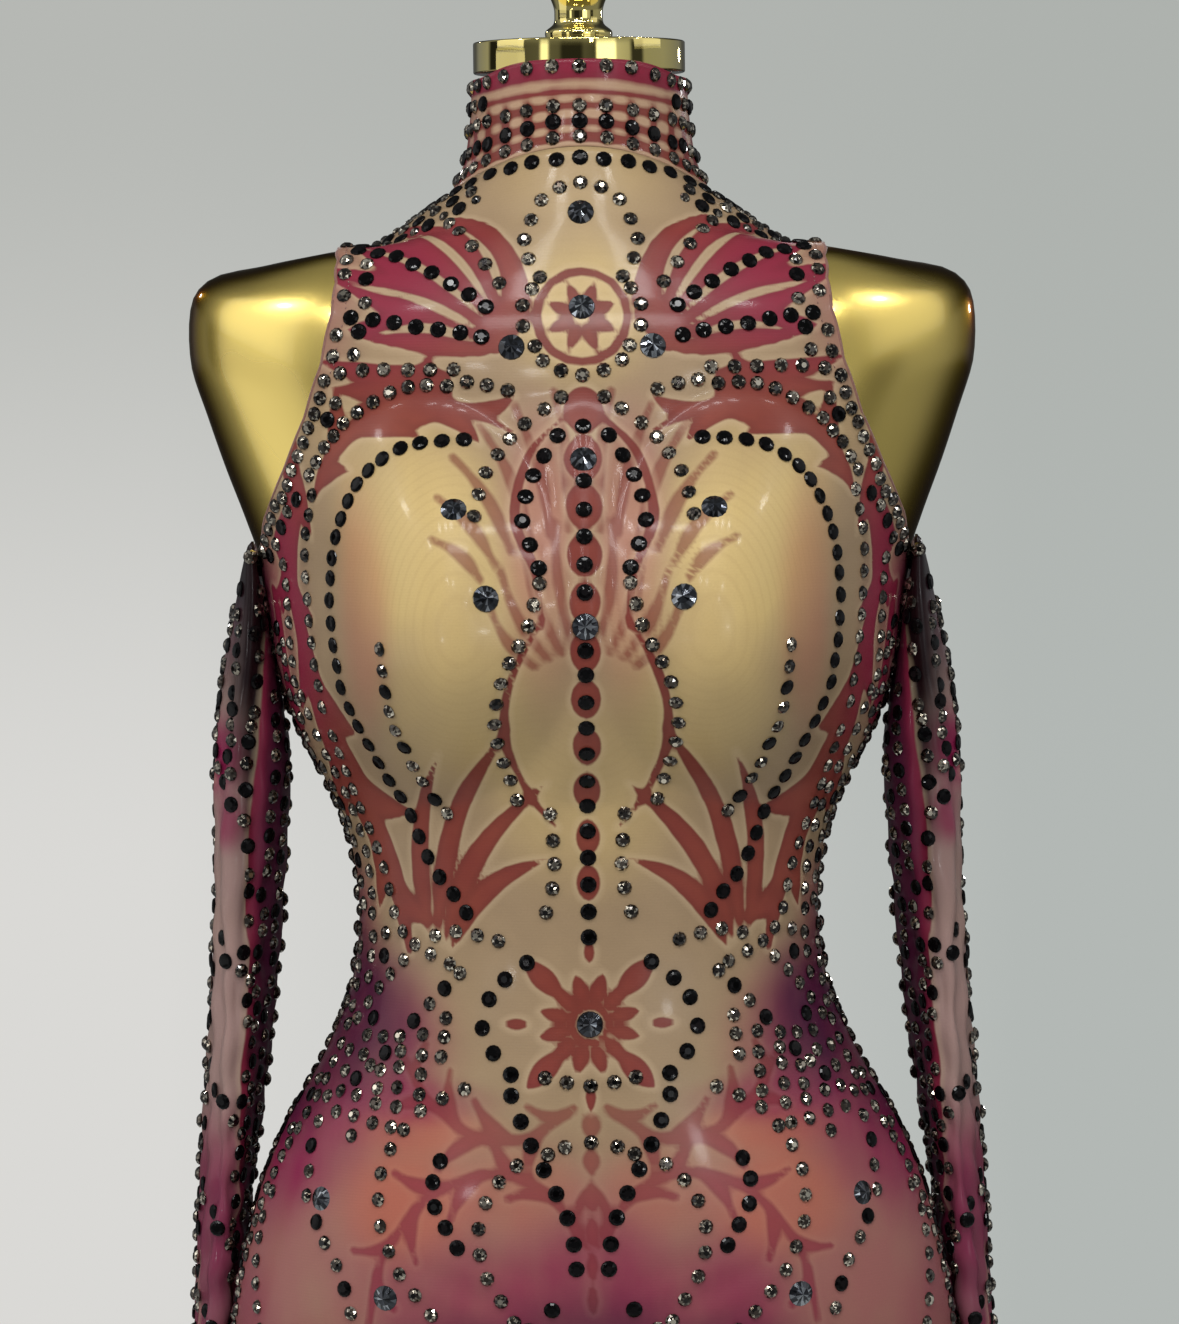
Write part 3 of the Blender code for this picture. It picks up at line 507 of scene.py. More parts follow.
def bust_shapes():
    """Leafy stems round the outside of the bust, and a lyre between its two sides."""
    outer = vine(
        [(196, 1236), (182, 1196), (158, 1152), (128, 1116), (106, 1078), (94, 1040)],
        (2.5, 7.0, 10.0, 10.5, 7.5, 2.0), 7, 42, 7.0, lean=30, sides=(-1, 1),
    )
    upper = vine(
        [(150, 1262), (128, 1285), (96, 1302), (62, 1304), (34, 1292)],
        (1.5, 4.0, 5.0, 3.0, 1.0), 6, 30, 4.6, lean=34,
    )
    side = vine(
        [(214, 1215), (206, 1165), (182, 1112), (160, 1068), (152, 1020)],
        (3.0, 8.0, 9.0, 7.0, 2.5), 6, 32, 5.4, lean=26,
    )
    flames = vine(
        [(150, 1300), (166, 1262), (186, 1232), (204, 1206)],
        (1.5, 5.0, 6.5, 2.0), 5, 30, 5.4, lean=24,
    )
    lyre = [
        stroke([(10, 1298), (27, 1280), (34, 1252), (24, 1226), (21, 1200)],
               (0.8, 2.2, 2.6, 2.0, 0.8)),
        stroke([(21, 1204), (36, 1176), (40, 1146), (29, 1120), (15, 1102)],
               (0.8, 2.0, 2.4, 1.8, 0.8)),
    ]
    blades = fan((84, 1028), 4, 96, 138, 20, (112, 132, 116, 88), 5.4, bend=-9)
    return outer + upper + side + flames + lyre + blades


def middle_shapes():
    """A chain of lozenges down the middle, and a rosette at the navel."""
    chain = lozenges([(0, 1312), (0, 1190), (0, 1062)], 11, 0.86, 9.5)
    petals = rosette((0, 1006), 12, 11, 25, 3.4, turn=15)
    points = rosette((0, 1006), 4, 22, 44, 5.6, turn=45)
    drops = rosette((0, 1006), 4, 30, 42, 2.6)
    return chain + petals + points + drops + [ring((0, 1006), 8.5, 1.5)]


def soft_shapes():
    """Willow leaves beside the breastbone, and ferns below the navel and across the hips,
    all lighter than the rest, with blunt tips."""
    willow = fan((0, 1180), 6, 40, 84, 66, (96, 116, 128, 132), 3.4, bend=3)
    willow += fan((0, 1150), 4, 52, 82, 40, (74, 92, 100), 3.0, bend=-3)
    fern = vine(
        [(8, 966), (30, 952), (56, 952), (80, 968), (98, 992)],
        (0.8, 2.0, 2.4, 1.6, 0.6), 7, 22, 3.2, lean=48,
    )
    low = vine(
        [(4, 900), (22, 926), (50, 934), (80, 922), (104, 892), (112, 858)],
        (0.8, 1.8, 2.2, 2.2, 1.6, 0.6), 8, 22, 3.0, lean=42,
    )
    drop = lozenges([(0, 964), (0, 862)], 6, 0.7, 4.6)
    shapes = willow + fern + low + drop
    return [np.column_stack([s[:, :2], np.maximum(s[:, 2], 1.9)]) for s in shapes]


def back_shapes():
    """The back repeats the palm fans, leafy stems and ferns beside the zip."""
    fans = fan((30, 1330), 5, 10, 66, 10, (92, 112, 112, 96, 76), 8.6, bend=5)
    stem = vine(
        [(18, 1290), (44, 1250), (74, 1200), (86, 1140), (70, 1085), (44, 1045)],
        (1.5, 4.5, 6.0, 6.0, 4.0, 1.5), 8, 34, 5.2, lean=32,
    )
    side = vine(
        [(176, 1230), (160, 1180), (136, 1120), (118, 1065), (112, 1020)],
        (2.0, 4.5, 5.0, 4.0, 1.5), 6, 30, 4.6, lean=28,
    )
    fern = vine(
        [(14, 985), (40, 966), (78, 962), (112, 978), (140, 1004)],
        (0.8, 2.2, 2.8, 2.0, 0.8), 8, 26, 3.6, lean=46,
    )
    low = vine(
        [(12, 880), (46, 920), (90, 930), (132, 908), (160, 868)],
        (0.8, 2.0, 2.6, 2.2, 0.8), 9, 26, 3.4, lean=42,
    )
    return fans + stem + side + fern + low


COLLAR_ROWS = (  # height on the flat cut, kind of stone, and half width of the band under it
    (1465, "smoke", 3.4), (1450.1, "smoke", 1.5), (1442.4, "jet", 1.6), (1434.8, "smoke", 2.2),
)
COLLAR_PITCH = 13.0


def collar_shapes():
    """Bands round the neck under the rows of stones and one between them. The lower ones
    are joined by short bars, so that ovals stay bare between them."""
    bands = [np.array([(-10, v, half), (260, v, half)]) for v, _, half in COLLAR_ROWS]
    bands.append(np.array([(-10, 1457, 1.0), (260, 1457, 1.0)]))
    bars = [stroke([(u, 1434), (u, 1452)], (1.3, 1.3)) for u in np.arange(0, 200, COLLAR_PITCH)]
    return bands + bars


def sleeve_shapes():
    """Long blades down the body side of the sleeve, and short ones down its outer side."""
    shapes = []
    for k, v in enumerate(range(1204, 800, -58)):
        shapes.append(leaf((-57, v), (-53 + 4 * (k % 2), v - 104), 8.0, bend=-2))
        shapes.append(leaf((-68, v - 24), (-64, v - 118), 7.5, bend=-4))
        shapes.append(leaf((-84, v), (-82, v - 90), 5.0, bend=3))
        if abs(v - 1060) > 110:
            shapes.append(leaf((-6 - 9 * (k % 2), v - 30), (-22, v - 84), 4.6, bend=5))
        shapes.append(leaf((30, v - 20), (24, v - 110), 6.0, bend=-5))
        shapes.append(leaf((56, v), (60, v - 100), 6.0, bend=4))
    return shapes


def leg_shapes():
    """Leafy stems down the outer seam, and blades that fade out above the knee."""
    outseam = vine(
        [(0, 822), (10, 700), (-10, 560), (10, 420), (-8, 280), (0, 110)],
        (1.5, 4.0, 5.0, 4.5, 3.5, 1.0), 20, 42, 5.0, lean=30,
    )
    shapes = list(outseam)
    for side in (1, -1):
        shapes += vine(
            [(side * 120, 800), (side * 92, 720), (side * 82, 620), (side * 60, 520)],
            (1.0, 3.0, 3.6, 1.0), 9, 36, 4.4, lean=32,
        )
    return shapes


PRINTS = {  # shapes in full ink, paler shapes, and thin lines left bare along the palm leaves
    "front": (chest_shapes() + bust_shapes() + middle_shapes(), soft_shapes(),
              fan((26, 1334), 5, 4, 60, 26, (76, 98, 102, 92, 70), 2.1, bend=5)),
    "back": (back_shapes(), (),
             fan((30, 1330), 5, 10, 66, 28, (80, 98, 98, 84, 64), 1.8, bend=5)),
    "collar": (collar_shapes(), (), ()),
    "sleeve": (sleeve_shapes(), (), ()),
    "leg": (leg_shapes(), (), ()),
}

# Washes of colour under the print: centre, reaches and strength on the flat cut
WASHES = {
    "front": {
        "gold": [
            (80, 1235, 70, 72, 1.0), (60, 1165, 60, 60, 0.6), (0, 1352, 50, 50, 0.7),
            (0, 1420, 60, 46, 0.3), (0, 1120, 66, 66, 0.5), (100, 1280, 56, 46, 0.4),
        ],
        "rose": [
            (130, 880, 240, 104, 0.9), (0, 880, 70, 70, 0.8), (126, 990, 70, 60, 0.6),
            (215, 890, 70, 66, 0.8),
            (215, 1180, 60, 150, 0.5), (140, 1385, 60, 50, 0.4), (24, 1260, 26, 66, 0.5),
        ],
        "coral": [
            (94, 920, 50, 42, 0.85), (88, 954, 56, 18, 0.8), (118, 1210, 28, 80, 0.4),
            (20, 1225, 24, 86, 0.3), (36, 926, 40, 30, 0.4),
        ],
        "magenta": [
            (94, 968, 62, 16, 0.6), (60, 866, 70, 46, 0.65), (150, 944, 50, 40, 0.5),
            (196, 850, 40, 50, 0.4), (236, 1180, 50, 150, 0.8), (150, 1056, 44, 40, 0.5),
            (190, 944, 66, 62, 0.9), (135, 1350, 36, 56, 0.3), (0, 880, 50, 50, 0.65),
            (128, 992, 78, 66, 0.75),
        ],
        "plum": [
            (136, 1006, 66, 56, 0.95), (184, 972, 56, 44, 0.8), (176, 1040, 56, 60, 0.9),
            (0, 844, 64, 44, 0.7), (64, 842, 66, 30, 0.5),
        ],
        "berry": [(220, 1200, 100, 160, 1.0), (110, 1366, 92, 64, 0.9),
                  (120, 900, 190, 120, 1.0)],
    },
    "back": {
        "gold": [(70, 1300, 70, 90, 0.8), (60, 1160, 60, 90, 0.4)],
        "rose": [(90, 870, 260, 110, 0.9), (200, 1150, 70, 160, 0.5)],
        "coral": [(80, 925, 80, 52, 0.95), (140, 900, 60, 52, 0.7)],
        "magenta": [
            (90, 846, 190, 66, 0.6), (100, 985, 90, 56, 0.6), (200, 1120, 60, 130, 0.5),
        ],
        "plum": [
            (150, 985, 95, 85, 1.0), (190, 925, 90, 85, 0.9), (215, 860, 60, 70, 0.6),
            (0, 870, 50, 60, 0.5),
        ],
        "berry": [(200, 1180, 110, 170, 1.0), (110, 900, 220, 130, 1.0)],
    },
    "leg": {
        "pale": [(0, 400, 600, 900, 0.7)],
        "rose": [(0, 800, 400, 260, 0.9), (0, 300, 400, 300, 0.7)],
        "coral": [(-60, 700, 110, 110, 0.7), (60, 700, 110, 110, 0.7),
                  (0, 380, 400, 140, 0.5)],
        "magenta": [
            (-70, 800, 130, 90, 0.8), (70, 800, 130, 90, 0.8), (0, 250, 400, 160, 0.7),
            (0, 620, 60, 220, 0.35),
        ],
        "plum": [
            (-120, 836, 50, 46, 0.6), (0, 826, 120, 60, 0.8), (120, 832, 70, 60, 0.6),
            (0, 110, 400, 120, 0.9),
        ],
        "berry": [(0, 450, 600, 900, 1.0)],
    },
    "sleeve": {
        "rose": [(-30, 1010, 80, 280, 0.3), (60, 1000, 64, 300, 0.8)],
        "pale": [(0, 1000, 400, 900, 1.0)],
        "magenta": [
            (-20, 1134, 36, 30, 1.0), (-34, 1100, 18, 20, 0.7), (-2, 1030, 10, 24, 0.4),
            (-28, 900, 56, 74, 0.85), (-26, 800, 70, 90, 1.0), (20, 820, 56, 120, 0.8),
            (30, 1080, 28, 110, 0.7),
        ],
        "plum": [
            (-68, 1100, 26, 230, 1.0), (-68, 880, 26, 210, 1.0), (48, 1000, 32, 260, 0.8),
            (-40, 1228, 150, 48, 1.0), (84, 1000, 32, 300, 0.95), (-86, 1000, 32, 300, 0.95),
            (-30, 772, 84, 18, 0.6), (-10, 1190, 40, 44, 0.75), (-30, 880, 60, 90, 0.3),
        ],
        "berry": [(0, 1000, 400, 900, 1.0)],
        # The darkest wash, at the armpit and down the sleeve's body side, is partly dark print and
        # partly painted shade where the body shades the sleeve.
        "dark_ink_and_painted_shade": [
            (-56, 1180, 46, 84, 1.0), (-66, 1110, 36, 130, 0.9), (-40, 1226, 130, 34, 0.9),
            (-70, 980, 22, 160, 0.5),
        ],
    },
    "collar": {
        "gold": [(0, 1445, 300, 30, 0.2)],
        "rose": [(0, 1450, 400, 60, 0.4)], "magenta": [(150, 1449, 110, 60, 0.8)],
        "berry": [(0, 1466, 400, 12, 0.9), (150, 1450, 110, 60, 0.9)],
    },
}


WASH_FADE = 0.72  # share of a spot's reach over which its colour fades out
WASH_INKS = (  # washes in the order that they are laid on, and their inks
    ("pale", "#96837c"), ("gold", "#bfa56e"), ("rose", "#935d58"), ("coral", "#a8604e"),
    # the last wash, near black, is partly dark ink and partly painted shade
    ("magenta", "#7e1c43"), ("plum", "#42112f"), ("dark_ink_and_painted_shade", "#120509"),
)
WASH_NAMES = (*(name for name, _ in WASH_INKS), "berry")  # berry tints only the print's inks


def wash(spots, u, v):
    """How strong the spots of one wash are together, from 0 to 1."""
    total = np.zeros(np.shape(u))
    for at_u, at_v, reach_u, reach_v, strength in spots:
        d = np.hypot((u - at_u) / reach_u, (v - at_v) / reach_v)
        total = 1 - (1 - total) * (1 - strength * smooth((1 - d) / WASH_FADE))
    return total


def printed(kind, u, v):
    """The print's values at every point of a cloth whose flat cut is u and v."""
    side = np.abs(u) if kind in ("front", "back", "collar") else u
    dark, light, veins = PRINTS[kind]
    edge = distance_to(dark, side, v)
    if veins:
        edge = np.maximum(edge, -distance_to(veins, side, v))
    values = {"print_mm": edge, "fern_mm": distance_to(light, side, v)}
    for name in WASH_NAMES:
        values[name] = wash(WASHES[kind].get(name, ()), side, v)
    return values | {"cut_u": u, "cut_v": v}


# Meshes


def grid_faces(rows, cols, loop=False, flip=False):
    """Four-sided faces of a grid of points, numbered row by row."""
    index = np.arange(rows * cols).reshape(rows, cols)
    if loop:
        index = np.concatenate([index, index[:, :1]], axis=1)
    a, b, c, d = index[:-1, :-1], index[1:, :-1], index[1:, 1:], index[:-1, 1:]
    quads = np.stack([a, b, c, d], -1).reshape(-1, 4)
    return quads[:, ::-1] if flip else quads


def add_mesh(name, points, faces, material, values=None, rounded=True):
    """Makes an object of points in millimetres. values are kept at its points."""
    mesh = bpy.data.meshes.new(name)
    corners = faces.tolist() if isinstance(faces, np.ndarray) else faces
    mesh.from_pydata((np.reshape(points, (-1, 3)) * MM).tolist(), [], corners)
    mesh.update()
    for key, value in (values or {}).items():
        layer = mesh.attributes.new(key, "FLOAT", "POINT")
        layer.data.foreach_set("value", np.ravel(value).astype(np.float32))
    if rounded:
        mesh.shade_smooth()
    mesh.materials.append(material)
    obj = bpy.data.objects.new(name, mesh)
    bpy.context.scene.collection.objects.link(obj)
    return obj


def joined(parts):
    """Several (points, faces) parts as one."""
    faces, start = [], 0
    for points, part_faces in parts:
        faces += [[start + k for k in face] for face in part_faces]
        start += len(points)
    return np.concatenate([points for points, _ in parts]), faces


def shell(name, inner, outer, material, values, loop=False):
    """A closed cloth wall between two grids of the same shape."""
    rows, cols = inner.shape[:2]
    count = rows * cols
    faces = [grid_faces(rows, cols, loop), grid_faces(rows, cols, loop, True) + count]
    index = np.arange(count).reshape(rows, cols)
    edges = [index[0], index[-1][::-1]]
    if loop:
        edges = [np.append(e, e[0]) for e in edges]
    else:
        edges += [index[:, 0][::-1], index[:, -1]]
    for e in edges:
        faces.append(np.stack([e[:-1], e[1:], e[1:] + count, e[:-1] + count], -1))
    points = np.concatenate([outer.reshape(-1, 3), inner.reshape(-1, 3)])
    doubled = {k: np.concatenate([np.ravel(v), np.ravel(v)]) for k, v in values.items()}
    return add_mesh(name, points, np.concatenate(faces), material, doubled)


def rows_every(heights_of, last, step):
    """Row numbers from 0 whose heights are evenly spaced, about a step apart."""
    rows = np.linspace(0, last, 40 * int(last) + 1)
    heights = heights_of(rows)
    count = max(2, int(abs(heights[-1] - heights[0]) / step) + 1)
    return np.interp(np.linspace(-heights[0], -heights[-1], count), -heights, rows)


def pull_in(grids, axis, end, distance):
    """Moves one edge of each grid towards its neighbour, which opens a seam there."""
    pulled = []
    for grid in grids:
        grid = np.moveaxis(grid.copy(), axis, 0)
        edge, inside = (0, 1) if end == "first" else (-1, -2)
        grid[edge] += unit(grid[inside] - grid[edge]) * distance
        pulled.append(np.moveaxis(grid, 0, axis))
    return pulled


MIRROR = np.array([-1, 1, 1])


def both_sides(grids, values):
    """Each side's name with its grids and values. The right side is a mirror image."""
    yield "left", grids, values
    flipped = {key: value[:, ::-1] for key, value in values.items()}
    yield "right", [(grid * MIRROR)[:, ::-1] for grid in grids], flipped


def collar_rise(points):
    """The top of the collar stands 5 mm higher at the front, and a little wider, over the foot
    of the neck disc."""
    x, y, z = np.moveaxis(points, -1, 0)
    top = smooth((z - 1457) / 11) * smooth((-14 - y) / 30)
    wider = 1 + 0.022 * top
    return np.stack([x * wider, 6 + (y - 6) * wider, z + 5 * top], -1)


def mirrored_middle(grid):
    """A quarter and its mirror image, as one grid from right to left."""
    return np.concatenate([(grid * MIRROR)[:, :0:-1], grid], axis=1)


ON_MIDDLE = 1e-6  # mm from the middle that still counts as on it


def body_quarter(first, last, step, columns, back=False, folds=None):
    """One quarter of the body between two sections, with its rows about a step apart: its
    inner and outer points, the lengths and heights of its flat cut, and its rows' sections."""
    rows = rows_every(section_heights, HIP_SEAM, step)
    rows = np.concatenate([[first], rows[(rows > first + 0.05) & (rows < last - 0.05)], [last]])
    angles = edge_angle(rows)[:, None] * np.linspace(0, 1, columns + 1)[None, :]
    if back:
        angles = 180 - angles[:, ::-1]
    inner = body_surface(rows[:, None], angles)
    n = outward(body_surface, rows[:, None], angles)
    n[np.abs(inner[..., 0]) < ON_MIDDLE, 0] = 0
    n = unit(n)
    u = along_rings(inner, -1 if back else 0)
    v = np.repeat(section_heights(rows)[:, None], u.shape[1], axis=1)
    lift = folds(u, v) if folds else 0 * u
    return inner + lift[..., None] * n, inner + (WALL + lift)[..., None] * n, u, v, rows


def front_piece(material):
    """The front, from the collar's seam to the hip seam."""
    inner, outer, u, v, _ = body_quarter(COLLAR_SEAM, HIP_SEAM, step=2.4, columns=84,
                                         folds=front_folds)
    grids = [mirrored_middle(inner), mirrored_middle(outer)]
    for axis in (0, 1):
        for end in ("first", "last"):
            grids = pull_in(grids, axis, end, SEAM / 2)
    u = np.concatenate([-u[:, :0:-1], u], axis=1)
    v = np.concatenate([v[:, :0:-1], v], axis=1)
    piece = shell("front_panel", *grids, material, printed("front", u, v))
    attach(piece, ROOT)
    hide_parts("front")


def zip_inset(rows):
    """How far the back's middle edge stays from the middle."""
    past = smooth(rows - (ZIP_END_SECTION - 1))
    return (ZIP_HALF_WIDTH + SEAM) * (1 - past) + SEAM / 2 * past


def spread_middle(grid, inset, columns_moved=6):
    """Moves a back quarter's edge off the middle by the zip's half width, and the columns
    beside it in step."""
    grid = grid.copy()
    old = grid[:, -1 - columns_moved:, 0]
    far = old[:, :1]
    grid[:, -1 - columns_moved:, 0] = far - (far - old) * (far - inset[:, None]) / far
    return grid


def back_pieces(material):
    """The two halves of the back, with room for the zip."""
    inner, outer, u, v, rows = body_quarter(COLLAR_SEAM, HIP_SEAM, step=3.2, columns=62,
                                            back=True)
    inset = zip_inset(rows)
    grids = [spread_middle(inner, inset), spread_middle(outer, inset)]
    for end in ("first", "last"):
        grids = pull_in(grids, 0, end, SEAM / 2)
    grids = pull_in(grids, 1, "first", SEAM / 2)
    for side, shapes, kept in both_sides(grids, printed("back", -u, v)):
        piece = shell(f"back_panel_{side}", *shapes, material, kept)
        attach(piece, ROOT)
        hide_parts(f"back_{side}")


def collar_piece(material):
    """The stand-up collar, open at the back."""
    front = body_quarter(0, COLLAR_SEAM, step=1.6, columns=46)
    back = body_quarter(0, COLLAR_SEAM, step=1.6, columns=46, back=True)
    rows = front[4]
    grids = []
    for f, b in zip(front[:2], back[:2]):
        half = np.concatenate([f[:, :-1], spread_middle(b, zip_inset(rows))], axis=1)
        grids.append(mirrored_middle(half))
    grids = [collar_rise(grid) for grid in pull_in(grids, 0, "last", SEAM / 2)]
    half_u = along_rings(np.concatenate([front[0][:, :-1], back[0]], axis=1))
    u = np.concatenate([-half_u[:, :0:-1], half_u], axis=1)
    v = np.repeat(section_heights(rows)[:, None], u.shape[1], axis=1)
    piece = shell("collar_band", *grids, material, printed("collar", u, v))
    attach(piece, ROOT)
    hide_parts("collar")


def leg_pieces(material):
    """Front and back of each leg. Columns -3 to 10 are the front, and 10 to 23 the back."""
    rows = rows_every(leg_heights, len(LEG), 4.5)
    seam_in = LEG_INNER // 2
    for part, first, last in (("front", -seam_in, 10), ("back", 10, LEG_OUTER + seam_in)):
        cols = np.linspace(first, last, 53)[None, :]
        inner = leg_surface(rows[:, None], cols)
        n = outward(leg_surface, rows[:, None], cols)
        inner[..., 0] = np.maximum(inner[..., 0], SEAM / 2)
        n[0, inner[0, :, 0] < SEAM, 0] = 0
        n[0] = unit(n[0])
        hip = (cols[0] >= 0) & (cols[0] <= LEG_OUTER)
        n[0, hip] = outward(body_surface, np.full(hip.sum(), float(HIP_SEAM)),
                            cols[0, hip] * 180 / LEG_OUTER)
        outer = inner + WALL * n
        outer[..., 0] = np.maximum(outer[..., 0], SEAM / 2)
        grids = pull_in([inner, outer], 0, "first", SEAM / 2)
        for end in ("first", "last"):
            grids = pull_in(grids, 1, end, SEAM / 2)
        u = along_rings(inner, -1 if part == "front" else 0)
        v = np.repeat(leg_heights(rows)[:, None], u.shape[1], axis=1)
        for side, shapes, kept in both_sides(grids, printed("leg", u, v)):
            piece = shell(f"leg_{part}_panel_{side}", *shapes, material, kept)
            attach(piece, ROOT)
            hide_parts(f"leg_{side}_{part}")


def sleeve_pieces(material):
    """The two empty sleeves, which hang beside the body."""
    rows = rows_every(sleeve_heights, len(SLEEVE) - 1, 2.6)
    count = 64
    cols = -180 + np.arange(count)[None, :] * 360 / count
    inner = sleeve_surface(rows[:, None], cols)
    n = outward(sleeve_surface, rows[:, None], cols, SLEEVE_STEP)
    u = along_rings(np.concatenate([inner, inner[:, :1]], axis=1), count // 2)[:, :-1]
    v = np.repeat(sleeve_heights(rows)[:, None], count, axis=1)
    lift = sleeve_folds(u, v)[..., None]
    grids = [inner + lift * n, inner + (lift + WALL) * n]
    for side, shapes, kept in both_sides(grids, printed("sleeve", u, v)):
        piece = shell(f"sleeve_tube_{side}", *shapes, material, kept, loop=True)
        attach(piece, ROOT)
        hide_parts(f"sleeve_{side}")


# Dress form and stand


def form_piece(material):
    """Torso with its shoulder caps and leg roots, as one smooth skin."""
    rows = rows_every(section_heights, HIP_SEAM, 6)
    angles = np.linspace(0, 360, 145)[:-1][None, :]
    folded = np.where(angles > 180, 360 - angles, angles)
    points = body_surface(rows[:, None], folded)
    n = outward(body_surface, rows[:, None], np.clip(folded, 0.05, 179.95))
    n[np.abs(points[..., 0]) < ON_MIDDLE, 0] = 0
    points = points - CLEAR * unit(n)
    points = np.where((angles > 180)[..., None], points * MIRROR, points)
    rings, count = points.shape[:2]
    top = np.append(np.arange(count), 0)
    cap = [[b, a, rings * count] for a, b in zip(top, top[1:])]
    skin = grid_faces(rings, count, loop=True).tolist()
    parts = [(np.concatenate([points.reshape(-1, 3), points[0].mean(axis=0)[None]]), skin + cap)]
    root_rows = np.linspace(0, 1, 13)[:, None]
    root_cols = np.linspace(0, LEG_OUTER + LEG_INNER, 105)[:-1][None, :]
    root = leg_surface(root_rows, root_cols)
    n = outward(leg_surface, root_rows, root_cols)
    n[0, root[0, :, 0] < 0.01, 0] = 0
    root = root - CLEAR * unit(n)
    root[..., 0] = np.maximum(root[..., 0], 0.02)
    rings, count = root.shape[:2]
    last, centre = (rings - 1) * count + np.arange(count), rings * count
    points = np.concatenate([root.reshape(-1, 3), root[-1].mean(axis=0)[None]])
    for side in (1, -1):
        skin = grid_faces(rings, count, loop=True, flip=side < 0).tolist()
        end = [[a, centre, b][::side] for a, b in zip(last, np.roll(last, -1))]
        parts.append((points * [side, 1, 1], skin + end))
    piece = add_mesh("form_shell", *joined(parts), material)
    piece.data.set_sharp_from_angle(angle=math.radians(50))
    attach(piece, ROOT)
    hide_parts("dress_form")


def turned(name, profile, centre, material, node, sides=96, smooth_profile=False):
    """A piece turned about a vertical axis from (radius, height) pairs, bottom to top. It
    stands where the node that it replaces does."""
    profile = np.array(profile, float)
    if smooth_profile:
        at = np.linspace(0, len(profile) - 1, 6 * len(profile))
        profile = np.stack([between(profile[:, 0], at), between(profile[:, 1], at)], -1)
    profile = np.concatenate([[[0.01, profile[0, 1]]], profile, [[0.01, profile[-1, 1]]]])
    a = 2 * math.pi * np.arange(sides) / sides
    points = np.stack(
        [profile[:, :1] * np.cos(a) + centre[0], profile[:, :1] * np.sin(a) + centre[1],
         np.repeat(profile[:, 1:], sides, axis=1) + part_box(node)[0][2] / MM], -1,
    )
    faces = grid_faces(*points.shape[:2], loop=True, flip=True)
    piece = add_mesh(name, points, faces, material)
    piece.data.set_sharp_from_angle(angle=math.radians(35))
    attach(piece, ROOT)
    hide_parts(node)
    return piece


def rounded_edge(radius, height, bevel, steps=6):
    """The profile of a disc with rounded upper and lower edges."""
    turn = np.linspace(-90, 0, steps)
    low = [(radius - bevel + bevel * math.cos(math.radians(a)),
            bevel + bevel * math.sin(math.radians(a))) for a in turn]
    high = [(r, height - h) for r, h in reversed(low)]
    return low + high


def finish_nodes(names, material):
    """Gives the CAD's own pieces that stay in view their finish."""
    for name in names:
        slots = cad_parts[name].data.materials
        slots.clear()
        slots.append(material)


DISC, BASE = (52.5, 15.5, 0.9), (190, 10, 2.6)  # radius, height and rounding of the edges
FINIAL = (  # radius and height, from the bottom up
    (16.5, 0), (16.5, 1.5), (16.5, 5), (12.6, 8.6), (12, 13), (12.4, 17), (14.6, 22.5),
    (18.5, 29), (20.5, 38), (18.5, 47), (12, 54), (6.2, 57.6), (5.2, 61), (7.3, 64.6),
    (8.2, 69), (6.4, 73), (2, 75),
)


def stand_pieces(polished):
    """Neck disc, finial, rod with its socket and flange, and the base plate."""
    low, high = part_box("neck_disc")
    y = (low[1] + high[1]) / 2 / MM
    turned("neck_cap_disc", rounded_edge(*DISC), (0, y), polished, "neck_disc", sides=160)
    turned("turned_finial", FINIAL, (0, y), polished, "finial", smooth_profile=True)
    turned("round_base", rounded_edge(*BASE), (0, 0), polished, "base_plate", sides=160)
    finish_nodes(("rod", "rod_flange", "rod_socket"), polished)


# Stones


def cut_stone(radius, height, sides, rings, pointed=False):
    """A cut stone as (points, faces). Each ring of corners has its share of the radius and
    of the height, and stands over the corners or over the facets of the ring below."""
    points, faces = [], []
    for share, level, turn in rings:
        for k in range(sides):
            a = 2 * math.pi * (k + turn / 2) / sides
            points.append((radius * share * math.cos(a), radius * share * math.sin(a),
                           height * level))
    for n in range(len(rings) - 1):
        low, high = n * sides, (n + 1) * sides
        step = rings[n + 1][2] - rings[n][2]
        for k in range(sides):
            j = (k + 1) % sides
            if step == 0:
                faces.append((low + k, low + j, high + j, high + k))
            elif step > 0:
                faces += [(low + k, low + j, high + k), (low + j, high + j, high + k)]
            else:
                faces += [(low + k, low + j, high + j), (low + k, high + j, high + k)]
    rim = len(points) - sides
    if pointed:
        points.append((0, 0, height))
        faces += [(rim + k, rim + (k + 1) % sides, rim + sides) for k in range(sides)]
    else:
        faces.append(tuple(range(rim, rim + sides)))
    return np.array(points), faces


FLAT_CUT = ((0.9, 0, 0), (1, 0.3, 0), (0.95, 0.55, 0), (0.74, 0.9, 0), (0.4, 1, 1))
BRIGHT_CUT = ((0.9, 0, 0), (1, 0.25, 0), (0.73, 0.72, 1), (0.36, 1, 0))
POINTED_CUT = ((0.92, 0, 0), (1, 0.2, 0), (0.95, 0.34, 0), (0.52, 0.72, 1))
RADIUS = {"jet": 4.1, "smoke": 3.7, "small": 2.8, "large": 6.5}
STONES = {  # shape, and the finish that it takes
    "jet": (cut_stone(RADIUS["jet"], 1.9, 12, FLAT_CUT), "jet"),
    "smoke": (cut_stone(RADIUS["smoke"], 2.6, 10, BRIGHT_CUT), "smoke"),
    "small": (cut_stone(RADIUS["small"], 2.0, 10, BRIGHT_CUT), "smoke"),
    "large": (cut_stone(RADIUS["large"], 4.0, 16, POINTED_CUT, pointed=True), "slate"),
}
CELL = 11.0  # mm, more than the radii of a large and a jet stone, the widest pair tested
TOUCHING = 0.96  # how near the middles of two stones may be, as a share of their radii's sum
SUNK, LARGE_SUNK = 0.12, 2.3  # mm that a stone's foot is in the cloth, or below a solid's middle
TILT = 0.045  # spread of the slopes that hand-set stones lean by
random = np.random.default_rng(7)
